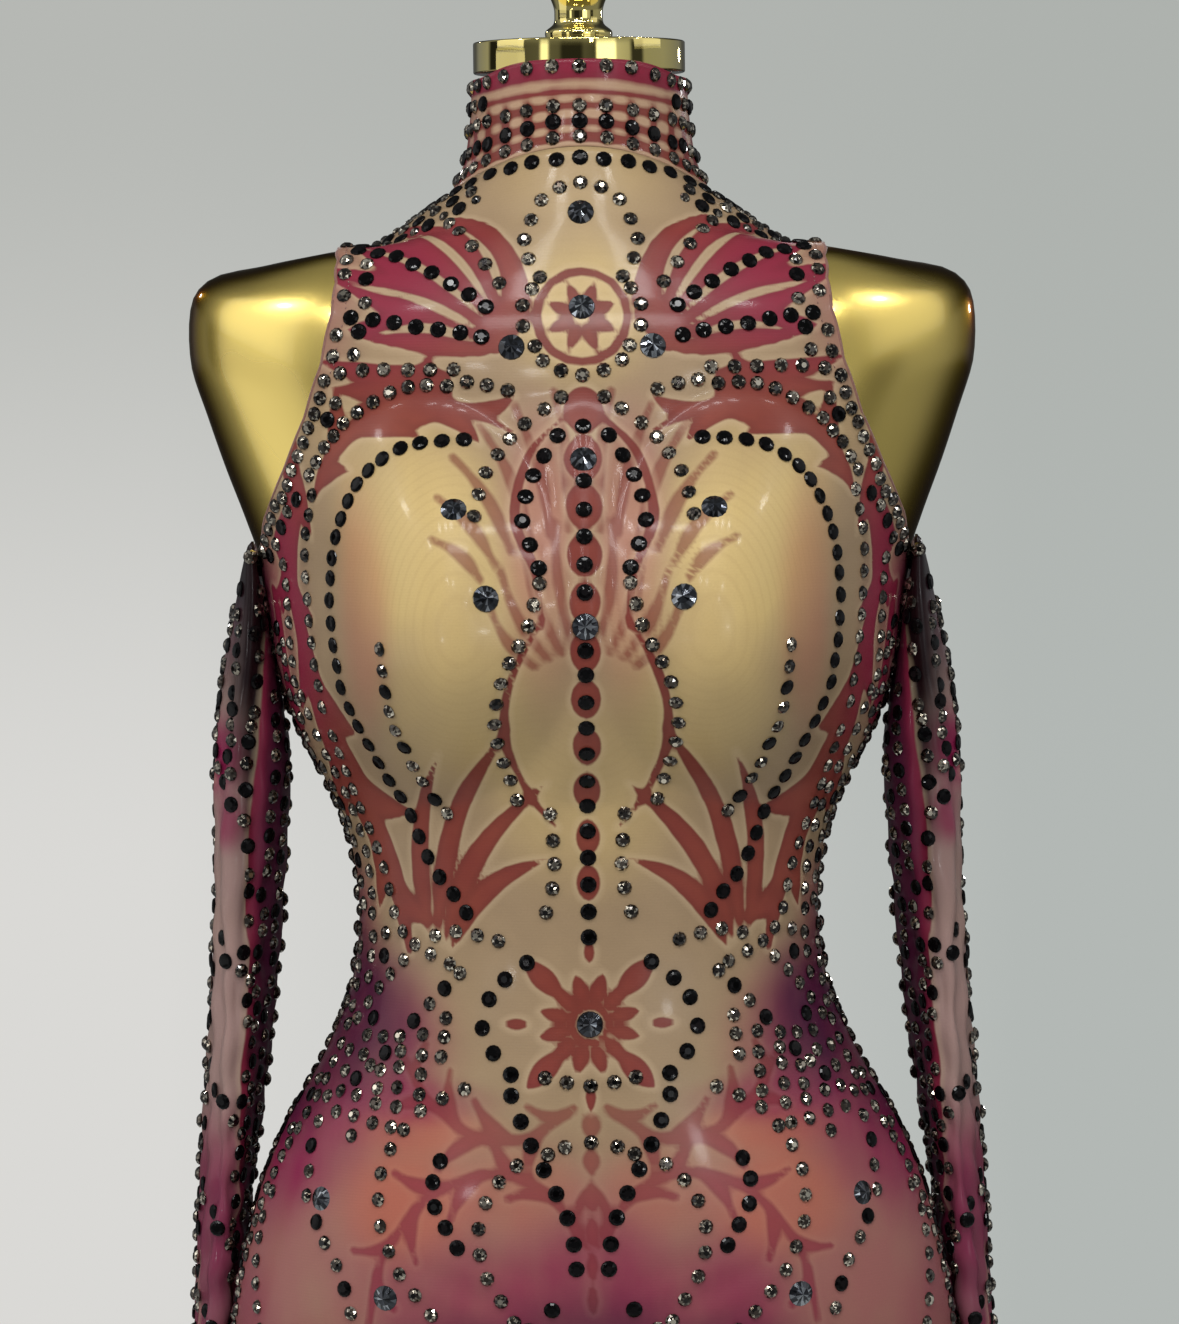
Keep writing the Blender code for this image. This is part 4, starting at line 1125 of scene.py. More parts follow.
settings = {}  # (piece, stone) to the places where it is set
taken = {}  # cells of space to the places and radii of the stones set in them


def cell_of(point):
    """The cell of space that a point is in."""
    return tuple(int(math.floor(c / CELL)) for c in point)


def take(point, stone):
    """Notes the room that a stone takes."""
    taken.setdefault(cell_of(point), []).append((point, RADIUS[stone]))


def too_near(point, stone):
    """Whether a stone would overlap one that is set already."""
    a, b, c = cell_of(point)
    for i, j, k in np.ndindex(3, 3, 3):
        for other, radius in taken.get((a + i - 1, b + j - 1, c + k - 1), ()):
            if math.dist(point, other) < TOUCHING * (RADIUS[stone] + radius):
                return True
    return False


def set_stone(piece, stone, point, normal):
    """Sets a stone if there is room for it, and says whether it did."""
    if too_near(point, stone):
        return False
    take(point, stone)
    settings.setdefault((piece, stone), []).append((point, normal, random.uniform(0, 360)))
    return True


def past_edge(cut_name, u, v):
    """Whether a stone would hang over the shoulder seam or the armhole."""
    if cut_name not in EDGES:
        return False
    edge_u, edge_v = EDGES[cut_name].T
    return edge_v[-1] < v < edge_v[0] and abs(u) > np.interp(v, edge_v[::-1], edge_u[::-1])


def set_on_cut(cut_name, piece, stone, u, v):
    """Sets a stone at a point of a flat cut, and its mirror image, if there is room."""
    if past_edge(cut_name, u, v):
        return False
    point, normal = spot(CUTS[cut_name], abs(u) if cut_name in ("front", "back") else u, v)
    if piece == "stones_collar":
        point = collar_rise(point)
    if point[0] <= RADIUS[stone]:
        return set_stone(piece.format("left"), stone, point * [0, 1, 1], normal)
    if not set_stone(piece.format("left"), stone, point, normal):
        return False
    return set_stone(piece.format("right"), stone, point * MIRROR, normal * MIRROR)


NUDGES = ((0, 0), (0, 2), (0, -2), (2, 0), (-2, 0), (0, 3.6), (0, -3.6), (3.6, 0), (-3.6, 0))


def bead_row(cut_name, piece, kinds, pitch, points, loose=0.5):
    """Sets stones along a curve on a flat cut, a pitch apart and no more than loose off it.
    kinds are taken in turn. A stone that has no room there moves a little aside."""
    kinds = kinds.split()
    count = max(1, round(length_of(points) / pitch))
    for k, (u, v) in enumerate(curve_through(points, count + 1)):
        u += random.uniform(-loose, loose) * (abs(u) > 1)  # the middle row stays on the middle
        v += random.uniform(-loose, loose)
        for aside, up in NUDGES:
            if set_on_cut(cut_name, piece, kinds[k % len(kinds)], u + aside, v + up):
                break


def side_row(angle, first, last, kinds, pitch):
    """Sets stones down both sides of the body at one angle round it."""
    heights = section_heights(BODY_ROWS)
    span = np.interp([-first, -last], -heights, BODY_ROWS)
    rows = np.linspace(*span, 160)
    length = lengths_along(body_surface(rows, np.full(160, float(angle))))
    at = np.arange(0, length[-1], pitch) + random.uniform(0, pitch / 2)
    at = np.minimum(at + random.uniform(-0.8, 0.8, len(at)), length[-1])
    rows = np.interp(at, length, rows)
    angles = angle + random.uniform(-0.5, 0.5, len(at))
    normals = outward(body_surface, rows, angles)
    points = body_surface(rows, angles) + WALL * normals
    piece = "stones_front" if angle < 90 else "stones_back_{}"
    kinds = kinds.split()
    for k, (point, normal) in enumerate(zip(points, normals)):
        kind = kinds[k % len(kinds)]
        set_stone(piece.format("left"), kind, point, normal)
        set_stone(piece.format("right"), kind, point * MIRROR, normal * MIRROR)


def armhole_edge(back, inset, first, last, count=14):
    """Points on the flat cut that follow the armhole, so far inside its edge."""
    flat = CUTS["back" if back else "front"]
    order = np.argsort(flat["cols"])
    points = []
    for row in np.linspace(first, last, count):
        angle = edge_angle(row)
        lengths = flat["along"][int(round(row / ROW_STEP))]
        u = np.interp(180 - angle if back else angle, flat["cols"][order], lengths[order])
        points.append((float(u) - inset, float(section_heights(row))))
    return points


EDGES = {  # how far out a stone may sit at each height, beside the shoulder and the armhole
    name: np.array(armhole_edge(name == "back", 5.2, COLLAR_SEAM + 0.5, ARMHOLE_BOTTOM, 40))
    for name in ("front", "back")
}
FRONT_ROWS = (  # stones in turn, pitch, and points on the flat cut
    ("jet", 11.5, [(0, 1424), (50, 1424), (104, 1423)]),
    ("smoke jet", 10.5, [(56, 1417), (92, 1409), (128, 1398)]),
    ("small", 8.6, [(58, 1424), (96, 1416), (134, 1404)]),
    ("small jet", 9.2, [(52, 1411), (86, 1402), (132, 1390)]),
    ("smoke", 10.5, [(0, 1412), (14, 1408), (24, 1396), (27, 1380), (20, 1366)]),
    ("smoke", 10.5, [(0, 1319), (15, 1323), (26, 1335), (29, 1350), (24, 1362)]),
    ("jet", 11.0, [(46, 1352), (70, 1368), (92, 1380), (112, 1384)]),
    ("jet", 11.0, [(48, 1338), (78, 1343), (104, 1347), (124, 1344)]),
    ("smoke", 11.0, [(40, 1364), (54, 1384), (66, 1402)]),
    ("smoke", 11.0, [(62, 1322), (86, 1322), (112, 1322), (130, 1318)]),
    ("smoke", 10.0, [(36, 1312), (60, 1316), (92, 1312), (122, 1296), (150, 1272)]),
    ("smoke", 10.5, [(10, 1308), (30, 1294), (46, 1276), (54, 1252)]),
    ("jet", 10.5, [(12, 1290), (24, 1272), (30, 1250), (22, 1228)]),
    ("jet", 10.8, [(58, 1288), (88, 1285), (116, 1268), (138, 1240), (148, 1206), (140, 1170)]),
    ("smoke", 10.8, [(152, 1262), (168, 1232), (170, 1196), (160, 1160)]),
    ("smoke", 10.5, [(22, 1220), (28, 1200), (42, 1172), (44, 1144), (34, 1116)]),
    ("jet", 13.0, [(0, 1294), (0, 1160), (0, 1048)]),
    ("jet", 10.8, [(132, 1160), (112, 1136), (92, 1110), (80, 1084), (60, 1060)]),
    ("smoke", 10.8, [(150, 1146), (128, 1112), (112, 1080), (100, 1050), (70, 1034)]),
    ("smoke smoke jet", 10.5, [(106, 1190), (100, 1160), (86, 1132), (70, 1108)]),
    ("smoke", 11.5, [(18, 1108), (16, 1084), (20, 1060)]),
    ("smoke", 9.6, [(192, 1228), (196, 1190), (184, 1140), (160, 1090), (144, 1050),
                     (140, 1010), (156, 966), (182, 930), (204, 890), (214, 846)]),
    ("small smoke", 9.0, [(208, 1190), (198, 1140), (176, 1090), (158, 1050), (152, 1010)]),
    ("jet", 14.5, [(30, 1036), (48, 1020), (52, 1000), (38, 982)]),
    ("smoke", 14.5, [(0, 976), (22, 980)]),
    ("smoke jet", 12.5, [(64, 1030), (84, 1012), (104, 992), (126, 976)]),
    ("smoke", 12.0, [(44, 1046), (70, 1050), (96, 1036), (124, 1012)]),
    ("jet", 13.0, [(38, 972), (30, 950), (20, 930), (11, 910), (8, 888)]),
    ("smoke", 12.5, [(0, 950), (22, 944), (42, 934), (54, 912), (52, 886), (38, 862)]),
    ("smoke", 12.5, [(62, 974), (86, 962), (104, 938), (106, 908), (92, 880), (70, 856)]),
    ("smoke smoke jet", 12.5, [(146, 966), (152, 938), (144, 908), (128, 882), (118, 852)]),
    ("jet", 13.0, [(74, 940), (78, 922), (66, 898)]),
    ("smoke", 12.0, [(172, 948), (186, 918), (190, 884), (180, 850)]),
    ("jet smoke", 14.0, [(20, 868), (48, 846), (84, 840)]),
    ("smoke", 10.0, [(196, 966), (178, 984), (160, 1004)]),
)
# Short strings of stones side by side over the hip. lengths counts each one's pitches.
CURTAIN = dict(first=72, step=12.5, count=6, top=1008, pitch=9.5, lengths=(2, 4, 5, 4, 5, 3))

SIDE_ROWS = (  # ring angle, first and last height, stones in turn, pitch
    (60, 1110, 985, "smoke jet smoke", 10.5), (68, 1190, 1000, "smoke", 10.5),
    (76, 1200, 960, "jet smoke smoke", 10.2), (83, 1206, 1010, "smoke", 9.6),
    (88, 1208, 842, "smoke jet", 9.0), (95, 1206, 846, "smoke", 9.4),
    (104, 1196, 842, "smoke jet", 10.5),
)
BACK_ROWS = (
    ("smoke", 12.0, [(12, 1422), (12, 1300), (12, 1160), (12, 992)]),
    ("smoke", 11.0, [(20, 1425), (60, 1424), (104, 1420)]),
    ("jet", 12.0, [(44, 1346), (70, 1366), (96, 1376)]),
    ("jet", 12.0, [(46, 1330), (80, 1334), (112, 1332)]),
    ("smoke", 12.0, [(26, 1300), (60, 1250), (84, 1190), (90, 1130), (72, 1080), (44, 1040)]),
    ("jet smoke", 12.0, [(40, 1300), (84, 1280), (120, 1240), (136, 1190)]),
    ("smoke", 11.0, [(170, 1220), (158, 1170), (136, 1110), (120, 1050), (124, 1000),
                      (150, 950), (178, 900), (190, 846)]),
    ("smoke", 12.5, [(24, 980), (60, 956), (100, 960), (134, 984)]),
    ("jet", 12.5, [(16, 900), (44, 928), (84, 936), (124, 920), (150, 884), (156, 846)]),
    ("smoke", 12.5, [(20, 870), (56, 894), (96, 892), (120, 860)]),
)
SLEEVE_ROWS_OF_STONES = (
    ("smoke jet smoke", 9.0, [(-70, 1200), (-72, 1100), (-68, 1000), (-71, 880), (-66, 784)]),
    ("smoke smoke jet", 9.6, [(-58, 1200), (-60, 1100), (-55, 1000), (-54, 880), (-50, 784)]),
    ("smoke jet", 13.0, [(-48, 1206), (-45, 1100), (-50, 1000), (-46, 880), (-49, 790)]),
    *(("jet smoke jet", 10.5, [(-10, v), (-26, v - 7), (-44, v - 26)])
      for v in (1176, 1128, 1050, 976, 914, 862, 812)),
    ("smoke jet", 13.0, [(-9, 1170), (-12, 1060), (-8, 930), (-11, 800)]),
    ("smoke smoke jet", 8.4, [(-16, 1206), (-20, 1166), (-22, 1128)]),
    ("jet smoke smoke", 8.4, [(-30, 1212), (-33, 1172), (-36, 1126)]),
    ("smoke jet", 8.4, [(-46, 1214), (-47, 1176), (-46, 1140)]),
    ("smoke jet smoke", 9.8, [(-2, 1212), (3, 1120), (-3, 1000), (2, 880), (0, 780)]),
    ("smoke jet", 14.0, [(22, 1205), (26, 1100), (20, 980), (24, 860), (20, 784)]),
    ("smoke", 15.0, [(52, 1200), (54, 1080), (50, 940), (46, 790)]),
    ("smoke", 12.0, [(80, 1190), (82, 1060), (80, 930), (78, 800)]),
)
LEG_ROWS_OF_STONES = (
    ("front", "smoke", 15.0, [(-9, 820), (-6, 640), (-11, 460), (-7, 280), (-9, 80)]),
    ("back", "smoke", 15.0, [(9, 820), (7, 640), (11, 460), (7, 280), (9, 80)]),
    ("front", "jet smoke", 15.0, [(-60, 815), (-84, 740), (-78, 650), (-52, 560), (-40, 470)]),
    ("front", "smoke", 15.0, [(-130, 806), (-112, 740), (-100, 660), (-80, 580)]),
    ("back", "jet smoke", 15.0, [(60, 815), (84, 740), (78, 650), (52, 560), (40, 470)]),
    ("front", "smoke", 12.0, [(-60, 74), (-30, 72), (-4, 72)]),
    ("back", "smoke", 12.0, [(4, 72), (30, 72), (60, 74)]),
)


def lay_stones():
    """Every row of small stones, on the front, back, collar, sleeves and legs."""
    for kinds, pitch, points in FRONT_ROWS:
        bead_row("front", "stones_front", kinds, pitch, points)
    for inset, kinds, pitch in ((6, "smoke", 9.6), (17, "smoke jet", 12.5)):
        edge = armhole_edge(False, inset, ARMHOLE_TOP + 0.2, ARMHOLE_BOTTOM)
        bead_row("front", "stones_front", kinds, pitch, edge)
    c = CURTAIN
    for k in range(c["count"]):
        u = c["first"] + k * c["step"]
        top = c["top"] - 6 * (k % 2) - 0.22 * (u - c["first"])
        low = top - c["pitch"] * c["lengths"][k]
        bead_row("front", "stones_front", "smoke", c["pitch"], [(u, top), (u + 2, low)])
    for kinds, pitch, points in BACK_ROWS:
        bead_row("back", "stones_back_{}", kinds, pitch, points)
    edge = armhole_edge(True, 6, ARMHOLE_TOP + 0.2, ARMHOLE_BOTTOM)
    bead_row("back", "stones_back_{}", "smoke", 10.5, edge)
    for level, kind, _ in COLLAR_ROWS:
        bead_row("front", "stones_collar", kind, COLLAR_PITCH, [(0, level), (52, level)])
        bead_row("front", "stones_collar", kind + " smoke", 9.8, [(62, level), (168, level)])
    bead_row("front", "stones_collar", "jet smoke", 9.8, [(56, 1457.6), (168, 1457.6)])
    for angle, first, last, kinds, pitch in SIDE_ROWS:
        side_row(angle, first, last, kinds, pitch)
    for kinds, pitch, points in SLEEVE_ROWS_OF_STONES:
        bead_row("sleeve", "stones_sleeve_{}", kinds, pitch, points, loose=2.2)
    for part, kinds, pitch, points in LEG_ROWS_OF_STONES:
        bead_row("leg", f"stones_leg_{part}_{{}}", kinds, pitch, points)


LARGE_PLACES = (  # the large stones' places in the solids: distance from the middle, height
    ("throat", 0, 1398), ("breastbone", 0, 1352), ("collarbone", 34, 1333),
    ("centre_chest", 0, 1279), ("upper_bust", 62, 1256), ("inner_bust", 47, 1214),
    ("bridge", 0, 1200), ("navel", 0, 1006), ("hip_side", 132, 918), ("hip_front", 101, 872),
)
LARGE_STONES = [
    (f"stone_{name}_{word}", x, z, 15.0 * len(name))
    for name, x, z in LARGE_PLACES
    for word in (("left", "right") if x else ("middle",))
]


def front_place(x, z):
    """Section and angle of the point on the front at a distance from the middle and a
    height, found by halving."""
    low, high = float(COLLAR_SEAM), float(HIP_SEAM)
    for _ in range(40):
        section = (low + high) / 2
        width = float(between(BODY[:, 2], section))
        angle = math.degrees(math.asin(min(1.0, x / width)))
        if body_surface(np.array(section), np.array(angle))[2] > z:
            low = section
        else:
            high = section
    return section, angle


def lay_large_stones():
    """The large stones sit where their solids do: at a box's middle, facing out."""
    for node, x, z, turn in LARGE_STONES:
        low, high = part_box(node)
        centre = np.array([(a + b) / 2 for a, b in zip(low, high)]) / MM
        section, angle = front_place(x, z)
        n = outward(body_surface, np.array([section]), np.array([max(angle, 0.02)]))[0]
        if not x:
            n[0] = 0
        n = unit(n) * [-1 if node.endswith("right") else 1, 1, 1]
        foot = centre - n * LARGE_SUNK
        take(foot, "large")
        settings.setdefault(("stones_large", "large"), []).append((foot, n, turn))


def stone_pieces(glass):
    """One piece for each kind of stone on each cloth."""
    for (piece, stone), places in settings.items():
        (points, faces), finish = STONES[stone]
        parts, tones = [], []
        for point, normal, turn in places:
            n = Vector(normal).normalized()
            if stone != "large":
                n = (n + Vector(random.normal(0, TILT, 3))).normalized()
            spin = Matrix.Rotation(math.radians(turn), 3, "Z")
            basis = np.array(n.to_track_quat("Z", "Y").to_matrix() @ spin)
            parts.append((points @ basis.T + (np.array(point) - SUNK * np.array(n)), faces))
            # Each facet's painted reflection: a random share between the finish's dark and light
            # colours.
            facets = random.uniform(0, 1, len(faces)) ** 1.7
            tones.append(0.25 * random.uniform(0, 1) + 0.75 * facets)
        obj = add_mesh(f"{piece}_{stone}", *joined(parts), glass[finish], rounded=False)
        layer = obj.data.attributes.new("painted_reflection", "FLOAT", "FACE")
        layer.data.foreach_set("value", np.concatenate(tones).astype(np.float32))
        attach(obj, ROOT)
        if stone == "large":
            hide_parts(*[node for node, *_ in LARGE_STONES])


# Edges, seams and zip


def tube(points, radius, sides=6, closed=False):
    """Points and faces of a thin tube along a line, in millimetres."""
    points = np.array(points, float)
    ahead = np.roll(points, -1, axis=0) if closed else np.concatenate([points[1:], points[-1:]])
    behind = np.roll(points, 1, axis=0) if closed else np.concatenate([points[:1], points[:-1]])
    way = unit(ahead - behind)
    up = np.where(np.abs(way[:, 2:]) > 0.9, [[0.0, 1.0, 0.0]], [[0.0, 0.0, 1.0]])
    first = unit(np.cross(way, up))
    second = np.cross(way, first)
    a = 2 * math.pi * np.arange(sides) / sides
    round_line = (np.cos(a)[None, :, None] * first[:, None]
                  + np.sin(a)[None, :, None] * second[:, None])
    index = np.arange(len(points) * sides).reshape(len(points), sides)
    if closed:
        index = np.concatenate([index, index[:1]])
    index = np.concatenate([index, index[:, :1]], axis=1)
    faces = np.stack([index[:-1, :-1], index[:-1, 1:], index[1:, 1:], index[1:, :-1]], -1)
    faces = faces.reshape(-1, 4).tolist()
    if not closed:
        faces.append(list(range(sides))[::-1])
        faces.append([int(k) for k in index[-1, :-1]])
    return (points[:, None] + radius * round_line).reshape(-1, 3), faces


def joined_tubes(name, lines, radius, material, closed=False, sides=6):
    """One piece made of tubes along several lines."""
    parts = [tube(line, radius, sides, closed) for line in lines]
    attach(add_mesh(name, *joined(parts), material), ROOT)


def edge_line(first, last, back=False, lift=0.6, inset=0.9, count=70):
    """The armhole's edge on the body's left, as points on the cloth."""
    rows = np.linspace(first, last, count)
    angle = edge_angle(rows) - inset / 3  # a degree round the body is about 3 mm
    angle = 180 - angle if back else angle
    return body_surface(rows, angle) + lift * outward(body_surface, rows, angle)


ARMHOLE_ROLL, HEM_ROLL, STITCH = 0.95, 1.0, 0.28  # radii of the rolled edges and the thread


def edge_pieces(thread):
    """Rolled edges on the armholes, cuffs and hems, and the armholes' stitches."""
    edges, stitches = [], []
    for back in (False, True):
        line = edge_line(ARMHOLE_TOP, ARMHOLE_BOTTOM, back)
        edges += [line, line * MIRROR]
        line = edge_line(ARMHOLE_TOP + 0.1, ARMHOLE_BOTTOM - 0.1, back, lift=1.3, inset=8,
                         count=180)
        for seam in (line, line * MIRROR):
            stitches += [seam[k : k + 2] for k in range(0, len(seam) - 2, 3)]
    joined_tubes("armhole_edges", edges, ARMHOLE_ROLL, thread)
    for name, surface, last, cols, step in (
        ("cuff_edges", sleeve_surface, len(SLEEVE) - 1, np.linspace(-180, 180, 73), SLEEVE_STEP),
        ("hem_edges", leg_surface, len(LEG), np.linspace(0, LEG_OUTER + LEG_INNER, 105), BODY_STEP),
    ):
        cols = cols[:-1]
        rows = np.full(len(cols), float(last))
        edge = surface(rows, cols) + 0.6 * outward(surface, rows - 0.06, cols, step)
        joined_tubes(name, [edge, edge * MIRROR], HEM_ROLL, thread, closed=True)
    joined_tubes("armhole_stitches", stitches, STITCH, thread, sides=4)


TAPE, TOOTH_PITCH = 0.5, 1.5  # the tape's thickness, and from tooth to tooth
TOOTH_HALF = np.array([1.5, 0.45, 0.5])  # half a tooth's width, depth and height
TOOTH_ASIDE, TOOTH_OUT = 0.55, 0.95  # its middle's place, from the zip's middle and foot


def zip_pieces(tape, metal):
    """Tape and closed teeth down the middle of the back."""
    count, end = 240, ZIP_END_SECTION - 0.2
    rows = np.linspace(0, end, count)
    middle = body_surface(rows, np.full(count, 180.0))
    n = outward(body_surface, rows, np.full(count, 179.95))
    n[:, 0] = 0
    n = unit(n)
    half = np.interp(rows, [0, ZIP_END_SECTION - 1, end], [ZIP_HALF_WIDTH, ZIP_HALF_WIDTH, 0.5])
    across = np.linspace(-1, 1, 5)[None, :, None] * half[:, None, None] * [1.0, 0, 0]
    inner = middle[:, None] + across
    outer = inner + TAPE * n[:, None]
    u = across[..., 0]
    values = {"cut_u": u, "cut_v": np.repeat(middle[:, 2:], 5, axis=1)}
    piece = shell("zip_tape", inner[:, ::-1], outer[:, ::-1], tape, values)
    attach(piece, ROOT)
    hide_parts("zip_strip")
    length = lengths_along(middle)
    cube = np.array([(x, y, z) for x in (-1, 1) for y in (-1, 1) for z in (-1, 1)], float)
    cube_faces = ((0, 1, 3, 2), (4, 6, 7, 5), (0, 4, 5, 1), (2, 3, 7, 6), (0, 2, 6, 4),
                  (1, 5, 7, 3))
    parts = []
    for k, at in enumerate(np.arange(4, length[-1] - 8, TOOTH_PITCH)):
        i = int(np.interp(at, length, np.arange(len(length))))
        along = unit(middle[min(i + 1, len(middle) - 1)] - middle[max(i - 1, 0)])
        axes = np.stack([[1.0, 0, 0], n[i], along])
        centre = middle[i] + TOOTH_OUT * n[i] + [TOOTH_ASIDE * (1 if k % 2 else -1), 0, 0]
        parts.append((cube * TOOTH_HALF @ axes + centre, cube_faces))
    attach(add_mesh("zip_teeth", *joined(parts), metal, rounded=False), ROOT)
    finish_nodes(("zip_slider", "zip_pull"), metal)


# Materials


def hex_colour(code):
    """An sRGB hex value as linear light, with full cover."""
    channels = [int(code[k : k + 2], 16) / 255 for k in (1, 3, 5)]
    light = [c / 12.92 if c <= 0.04045 else ((c + 0.055) / 1.055) ** 2.4 for c in channels]
    return (*light, 1.0)


def add_node(owner, kind, inputs, out=0, **settings):
    """Adds a node with its settings, and gives one of its outputs. Each input takes a value
    or the output that feeds it."""
    tree = owner.node_tree
    node = tree.nodes.new("ShaderNode" + kind)
    for key, value in settings.items():
        setattr(node, key, value)
    for key, value in inputs.items():
        if isinstance(value, bpy.types.NodeSocket):
            tree.links.new(value, node.inputs[key])
        else:
            node.inputs[key].default_value = value
    return node.outputs[out]


def new_material(name, values):
    """A material whose shader has the given plain values."""
    material = bpy.data.materials.new(name)
    material.use_nodes = True
    shader = material.node_tree.nodes["Principled BSDF"]
    for key, value in values.items():
        shader.inputs[key].default_value = value
    return material


def feed(material, outputs):
    """Links outputs to the shader's inputs of those names."""
    shader = material.node_tree.nodes["Principled BSDF"]
    for key, output in outputs.items():
        material.node_tree.links.new(output, shader.inputs[key])
    return material


BANDS = 2 * math.pi / 20  # a wave texture of this scale has its bands one unit apart


def printed_mesh():
    """Printed power mesh, a fine knit of nylon and spandex, stretched over the form. The
    gold glows through the bare knit. The inks are dense and a little uneven, pooled darker
    at their edges, with a paler line of bare knit beside them."""
    m = new_material("printed_nylon_power_mesh", {
        "Specular IOR Level": 0.16, "Coat Weight": 0.12, "Coat Roughness": 0.1,
    })
    value = {
        name: add_node(m, "Attribute", {}, "Fac", attribute_name=name)
        for name in ("cut_u", "cut_v", "print_mm", "fern_mm", *WASH_NAMES)
    }
    place = add_node(m, "CombineXYZ", {"X": value["cut_u"], "Y": value["cut_v"]})
    # Clouds in the dye are about 26 mm across, and brush marks about 30 by 60 mm.
    cloud = add_node(m, "TexNoise", {"Vector": place, "Scale": 1 / 26, "Detail": 3.0})
    drawn = add_node(m, "VectorMath", {0: place, 1: (1 / 30, 1 / 60, 0)}, operation="MULTIPLY")
    brush = add_node(m, "TexNoise", {"Vector": drawn, "Scale": 1.0, "Detail": 3.0})
    grain = add_node(m, "TexNoise", {"Vector": place, "Scale": 0.9, "Detail": 2.0})
    colour = add_node(m, "Mix", {0: cloud, 6: hex_colour("#8a745a"), 7: hex_colour("#9b8365")},
                      2, data_type="RGBA")
    uneven = add_node(m, "Math", {0: brush, 1: 0.9, 2: 0.55}, operation="MULTIPLY_ADD")
    # The last wash is partly dark ink and partly painted shade.
    for name, code in WASH_INKS:
        cover = add_node(m, "Math", {0: value[name], 1: uneven}, operation="MULTIPLY",
                         use_clamp=True)
        colour = add_node(m, "Mix", {0: cover, 6: colour, 7: hex_colour(code)}, 2,
                          data_type="RGBA")
    # Knit over a shiny skin shows contour lines 3 mm of depth apart where it bends most.
    depth = add_node(m, "SeparateXYZ", {0: add_node(m, "TexCoord", {}, "Object")}, "Y")
    turns = add_node(m, "Math", {0: depth, 1: 2 * math.pi / 0.003}, operation="MULTIPLY")
    rings = add_node(m, "MapRange", {
        0: add_node(m, "Math", {0: turns}, operation="SINE"), 1: 0.3, 2: 1.0, 3: 0.0, 4: 0.07,
    })
    rings = add_node(m, "Math", {0: rings, 1: value["gold"]}, operation="MULTIPLY")
    colour = add_node(m, "Mix", {0: rings, 6: colour, 7: hex_colour("#7a5a38")}, 2,
                      data_type="RGBA")
    inked = hex_colour("#6a2423")
    for share, code in (
        (cloud, "#823c2f"), (value["berry"], "#7e1836"), (value["plum"], "#3f0f2b"),
    ):
        inked = add_node(m, "Mix", {0: share, 6: inked, 7: hex_colour(code)}, 2,
                         data_type="RGBA")
    # The clouds shift a stroke's edge by up to 2.4 mm, so it lies at about 1.2 on average.
    for name, sharp, strength, halo in (
        ("fern_mm", 0.9, 0.7, 0.04), ("print_mm", 0.5, 0.97, 0.22),
    ):
        edge = add_node(m, "Math", {0: cloud, 1: 2.4, 2: value[name]},
                        operation="MULTIPLY_ADD")
        pale = add_node(m, "MapRange", {0: edge, 1: 4.6, 2: 1.8, 3: 0.0, 4: halo})
        cover = add_node(m, "MapRange", {
            0: edge, 1: 1.2 + sharp, 2: 1.2 - sharp, 3: 0.0, 4: strength,
        })
        pooled = add_node(m, "MapRange", {0: edge, 1: -2.0, 2: 1.0, 3: 0.0, 4: 0.24})
        ink = add_node(m, "Mix", {0: pooled, 6: inked, 7: hex_colour("#3d1416")}, 2,
                       data_type="RGBA")
        colour = add_node(m, "Mix", {0: pale, 6: colour, 7: hex_colour("#cdb492")}, 2,
                          data_type="RGBA")
        colour = add_node(m, "Mix", {0: cover, 6: colour, 7: ink}, 2, data_type="RGBA")
    speck = add_node(m, "Math", {0: grain, 1: 0.12}, operation="MULTIPLY")
    colour = add_node(m, "Mix", {0: speck, 6: colour, 7: hex_colour("#33231e")}, 2,
                      data_type="RGBA")
    rough = add_node(m, "MapRange", {0: grain, 1: 0.3, 2: 0.7, 3: 0.3, 4: 0.42})
    # Real courses are about 0.5 mm apart. They are drawn at 1.4 mm so that they show.
    courses = add_node(m, "TexWave", {
        "Vector": place, "Scale": BANDS / 1.4, "Distortion": 0.4, "Detail": 1.0,
    }, 1, bands_direction="Y")
    knit = add_node(m, "Bump", {"Strength": 0.08, "Distance": 0.0002, "Height": courses})
    nap = add_node(m, "Bump", {
        "Strength": 0.08, "Distance": 0.0003, "Height": grain, "Normal": knit,
    })
    return feed(m, {"Base Color": colour, "Roughness": rough, "Normal": nap})


def gold_lacquer():
    """Gold lacquer on a moulded glass-fibre shell: metal flake under clear varnish, which
    gives a soft bright bloom with a small sharp highlight in it. Its colour is painted
    darker towards the rims, a painted shade for the dark room that the rims face."""
    m = new_material("gold_lacquer_on_glass_fibre", {
        "Metallic": 1.0, "Specular Tint": hex_colour("#9c8640"), "Coat Weight": 0.5,
        "Coat Roughness": 0.07,
    })
    place = add_node(m, "TexCoord", {}, "Object")
    cloud = add_node(m, "TexNoise", {"Vector": place, "Scale": 9.0, "Detail": 2.0})
    colour = add_node(m, "Mix", {0: cloud, 6: hex_colour("#e4c766"), 7: hex_colour("#eed47a")},
                      2, data_type="RGBA")
    # Painted shade: the colour turns dark olive where the surface turns away, towards the rims.
    turned = add_node(m, "LayerWeight", {"Blend": 0.5}, "Facing")
    painted_rim_shade = add_node(m, "MapRange", {0: turned, 1: 0.3, 2: 0.85}, interpolation_type="SMOOTHSTEP")
    colour = add_node(m, "Mix", {0: painted_rim_shade, 6: colour, 7: hex_colour("#7c6426")}, 2,
                      data_type="RGBA")
    rough = add_node(m, "MapRange", {0: cloud, 1: 0.3, 2: 0.7, 3: 0.25, 4: 0.275})
    peel = add_node(m, "Bump", {"Strength": 0.05, "Distance": 0.0006, "Height": cloud})
    return feed(m, {"Base Color": colour, "Roughness": rough, "Normal": peel})


